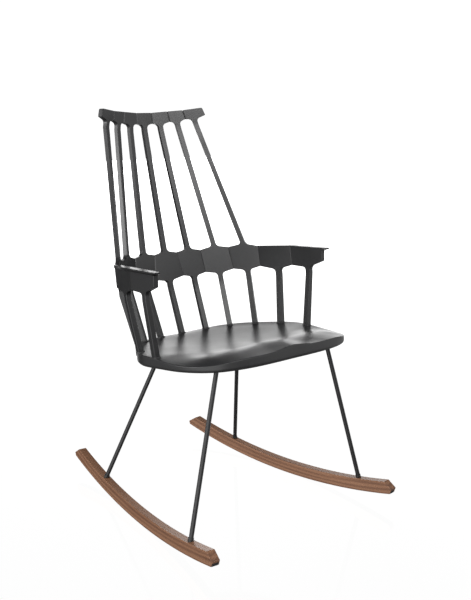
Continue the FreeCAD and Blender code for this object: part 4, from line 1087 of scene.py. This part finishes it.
def tread(side, name, node):
    """Rubber strip with shallow cross grooves in its underside."""
    fl, rl = FL + 0.4, RL - 0.4
    hw, top, bot = 8.42, 6.9, -0.5
    NS = 240
    ring = [(-hw, top), (-hw, bot + 0.5), (-hw + 0.5, bot), (hw - 0.5, bot), (hw, bot + 0.5), (hw, top)]
    verts, faces = [], []
    for i in range(NS + 1):
        f = i / NS
        cut = 0.35 if (i % 4 == 0 and 0 < i < NS) else 0.0
        for y, up in ring:
            s0 = fl + (FN - FL) * up / UPF
            s1 = rl + (RN - RL) * up / UPR
            s = s0 + (s1 - s0) * f
            _, z = arc_pt(s, up)
            verts.append(rocker_world(side, s, y, z + (cut if up <= bot + 0.01 else 0.0)))
    n = 6
    for i in range(NS):
        for j in range(n):
            k = (j + 1) % n
            faces.append([i * n + j, i * n + k, (i + 1) * n + k, (i + 1) * n + j])
    faces.append(list(range(n))[::-1])
    faces.append([NS * n + i for i in range(n)])
    return make(name, place(verts), faces, RUBBER, [node], 40.0)


tread(-1, "tread_strip_left", "rocker_tread_left")
tread(1, "tread_strip_right", "rocker_tread_right")


# ------------------------------------------------------------------ rods and ferrules
def foot_on_top(side, which):
    lo, hi = rod_line(side, which)
    ex = A(-side * math.sin(TOE), math.cos(TOE), 0)
    ey = np.cross(A(0, 0, 1), ex)
    base = A(side * RX, 0, 0)

    def loc(p):
        return A((p - base) @ ex, (p - base) @ ey, p[2])
    a, b = loc(lo), loc(hi)
    k0, k1 = 0.0, 0.3
    for _ in range(60):
        k = (k0 + k1) / 2
        p = a + (b - a) * k
        if math.hypot(p[0] - SC, p[2] - RB) > RB - TH:
            k0 = k
        else:
            k1 = k
    p = a + (b - a) * k
    nl = unit(A(SC - p[0], 0, RB - p[2]))
    foot = base + ex * p[0] + ey * p[1] + A(0, 0, p[2])
    n = ex * nl[0] + A(0, 0, nl[2])
    return foot, n, unit(hi - lo)


def tube(p, q, r, wall, n=56):
    axis = unit(q - p)
    ln = np.linalg.norm(q - p)
    e = 0.35
    steps = [(r - e, 0.0), (r, e)] + [(r, ln * f) for f in (0.25, 0.5, 0.75)] + [(r, ln - e), (r - e, ln), (r - wall, ln)] + [(r - wall, ln * f) for f in (0.75, 0.5, 0.25)] + [(r - wall, 0.0)]
    return lathe(p, axis, steps, n, caps=False)


for side, st in ((-1, "left"), (1, "right")):
    for which in ("front", "rear"):
        tag = which + "_" + st
        foot, n, d = foot_on_top(side, which)
        tw = rod_at_w(side, which, BAR_LOW)
        end = seat_pt(*tw)
        start = foot + d * 6.02
        make("rod_tube_" + tag, place(tube(start, end - d * 0.6, 5.5, 1.5)[0]), tube(start, end - d * 0.6, 5.5, 1.5)[1], ROD, ["rod_" + tag], 40.0)
        parts = ([], [])
        # the ferrule's foot is cut to the rocker's top; its lowest ring is laid on that plane
        prof = [(6.6, 0.0), (6.6, 7.9), (6.45, 8.55), (6.0, 8.92), (5.58, 9.0), (5.55, 6.0), (0.6, 6.0)]
        v, f = lathe(foot, d, prof, 48)
        v = [np.array(q) for q in v]
        for i in range(48):
            q = v[i]
            v[i] = q - d * (((q - foot) @ n - 0.05) / (d @ n))
        join(parts, (v, f))
        join(parts, lathe(foot - n * 23.8, n, [(2.6, 0.0), (3.0, 0.4), (3.0, 25.8), (2.6, 25.9)], 24))
        make("ferrule_cup_" + tag, place(parts[0]), parts[1], FERRULE, ["ferrule_" + tag], 35.0)

# ------------------------------------------------------------------ materials of the carried-over parts
for node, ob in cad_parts.items():
    mat = None
    if node.startswith("frame_side_bar") or node.startswith("frame_crossbar"):
        mat = BARS
    elif node in ("stud_nuts", "stud_washers", "frame_screws", "frame_washers", "tenon_screws", "tenon_washers"):
        mat = STEEL
    elif node == "seat_inserts":
        mat = BRASS
    if mat is not None:
        if not ob.material_slots:
            ob.data.materials.append(mat)
        for s in ob.material_slots:
            s.material = mat

# ------------------------------------------------------------------ floor, world, lights
me = bpy.data.meshes.new("floor")
me.from_pydata([(-14, -14, 0), (14, -14, 0), (14, 14, 0), (-14, 14, 0)], [], [(0, 1, 2, 3)])
floor = bpy.data.objects.new("floor", me)
SCN.collection.objects.link(floor)
fm, ft = new_mat("floor_sweep")
pale = principled(ft, (0.0, 0.0, 0.0), 0.06, ior=1.45, spec=0.5)
pale.inputs["Emission Color"].default_value = (1, 1, 1, 1)
pale.inputs["Emission Strength"].default_value = 0.978
me.materials.append(fm)
floor.visible_glossy = floor.visible_diffuse = False

world = bpy.data.worlds.new("studio")
SCN.world = world
wt = Tree(world)
wd = wt.n("ShaderNodeTexCoord").outputs["Generated"]


def lobe(direction, lo, hi):
    dp = wt.n("ShaderNodeVectorMath", operation="DOT_PRODUCT")
    wt.put(dp.inputs[0], wd)
    dp.inputs[1].default_value = tuple(unit(A(*direction)))
    m = wt.n("ShaderNodeMapRange", interpolation_type="SMOOTHSTEP")
    wt.put(m.inputs[0], dp.outputs["Value"])
    m.inputs[1].default_value, m.inputs[2].default_value = lo, hi
    m.inputs[3].default_value, m.inputs[4].default_value = 0.0, 1.0
    return m.outputs[0]


# soft panels round the room, as directions with the start and end of their falloff and a radiance
BASE = 0.03
PANELS = [((0.61, 0.79, 0.06), 0.80, 0.97, 3.1), ((1.0, -0.1, 0.05), 0.6, 0.98, 0.55), ((-0.9, -0.4, 0.0), 0.6, 0.98, 1.85), ((-0.85, 0.5, -0.15), 0.7, 0.98, 0.40),
          ((0.6, -0.77, 0.25), 0.75, 0.99, 0.7), ((-0.3, -0.93, 0.15), 0.75, 0.99, 0.45), ((0.0, 0.0, 1.0), 0.3, 0.95, 0.05), ((0.0, 0.0, -1.0), 0.2, 0.95, 0.15), ((-0.80, 0.47, 0.42), 0.90, 0.99, 3.2)]
# the panel behind the chair ends a little above the seat's mirror direction
sep = wt.n("ShaderNodeSeparateXYZ")
wt.put(sep.inputs[0], wd)
edge = wt.n("ShaderNodeMapRange", interpolation_type="SMOOTHSTEP")
wt.put(edge.inputs[0], sep.outputs["Z"])
for i, q in enumerate((0.12, 0.30, 1.0, 0.08)):
    edge.inputs[i + 1].default_value = q
tone = None
for n, (way, lo, hi, amount) in enumerate(PANELS):
    part = wt.math("MULTIPLY", lobe(way, lo, hi), amount)
    if n == 0:
        part = wt.math("MULTIPLY", part, edge.outputs[0])
    tone = part if tone is None else wt.math("ADD", tone, part)
tone = wt.math("ADD", tone, BASE)
bg = wt.n("ShaderNodeBackground")
bg.inputs["Color"].default_value = (1, 1, 1, 1)
wt.put(bg.inputs["Strength"], tone)
white = wt.n("ShaderNodeBackground")
white.inputs["Color"].default_value = (1, 1, 1, 1)
white.inputs["Strength"].default_value = 1.05
lp = wt.n("ShaderNodeLightPath")
mix = wt.n("ShaderNodeMixShader")
wt.t.links.new(lp.outputs["Is Camera Ray"], mix.inputs[0])
wt.t.links.new(bg.outputs[0], mix.inputs[1])
wt.t.links.new(white.outputs[0], mix.inputs[2])
wo = wt.n("ShaderNodeOutputWorld")
wt.t.links.new(mix.outputs[0], wo.inputs[0])


def area(name, loc, aim, size, size_y, power):
    l = bpy.data.lights.new(name, "AREA")
    l.shape, l.size, l.size_y, l.energy = "RECTANGLE", size, size_y, power
    o = bpy.data.objects.new(name, l)
    o.location = loc
    o.rotation_euler = (Vector(aim) - Vector(loc)).to_track_quat("-Z", "Y").to_euler()
    o.visible_camera = False
    SCN.collection.objects.link(o)
    return o


AREAS = [("front_bank", (0.8, -1.9, 1.9), (0.0, 0.1, 0.9), 1.4, 0.9, 10.0), ("left_bank", (-0.6, -2.0, 1.9), (0.0, 0.1, 0.9), 1.3, 0.9, 1.0),
         ("overhead", (0.0, 0.3, 3.2), (0.0, 0.0, 0.4), 2.4, 2.4, 3.0), ("side_bank", (-1.9, 0.3, 1.3), (-0.15, 0.3, 1.0), 1.0, 0.6, 12.0),
         ("crest_bank", (-0.4, -1.5, 1.45), (0.0, 0.3, 0.98), 1.3, 0.5, 11.5)]
for row in AREAS:
    area(*row)

# ------------------------------------------------------------------ camera at the photograph's viewing angle
CAM_AZ, CAM_EL = math.radians(-39.047), math.radians(12.878)
cam_p = A(-1328.1, -1685.1, 1023.3)
back_v = A(math.sin(CAM_AZ) * math.cos(CAM_EL), -math.cos(CAM_AZ) * math.cos(CAM_EL), math.sin(CAM_EL))
fwd_v = -back_v
right_v = unit(np.cross(fwd_v, A(0, 0, 1)))
up_v = np.cross(right_v, fwd_v)
loc = place([cam_p])[0]
R3 = np.stack([turn(right_v), turn(up_v), turn(back_v)], 1)
M = Matrix.Identity(4)
for i in range(3):
    for j in range(3):
        M[i][j] = float(R3[i, j])
    M[i][3] = float(loc[i])
cd = bpy.data.cameras.new("view")
cd.sensor_fit = "AUTO"
cd.sensor_width = 36.0
cd.lens = 36.0 * 880.0 / 600.0
cd.clip_start, cd.clip_end = 0.05, 60.0
cam = bpy.data.objects.new("view", cd)
cam.matrix_world = M
SCN.collection.objects.link(cam)
SCN.camera = cam
SCN.view_settings.view_transform = "Standard"
SCN.view_settings.look = "None"
SCN.view_settings.exposure = 0.0
SCN.view_settings.gamma = 1.0

bpy.context.view_layer.update()
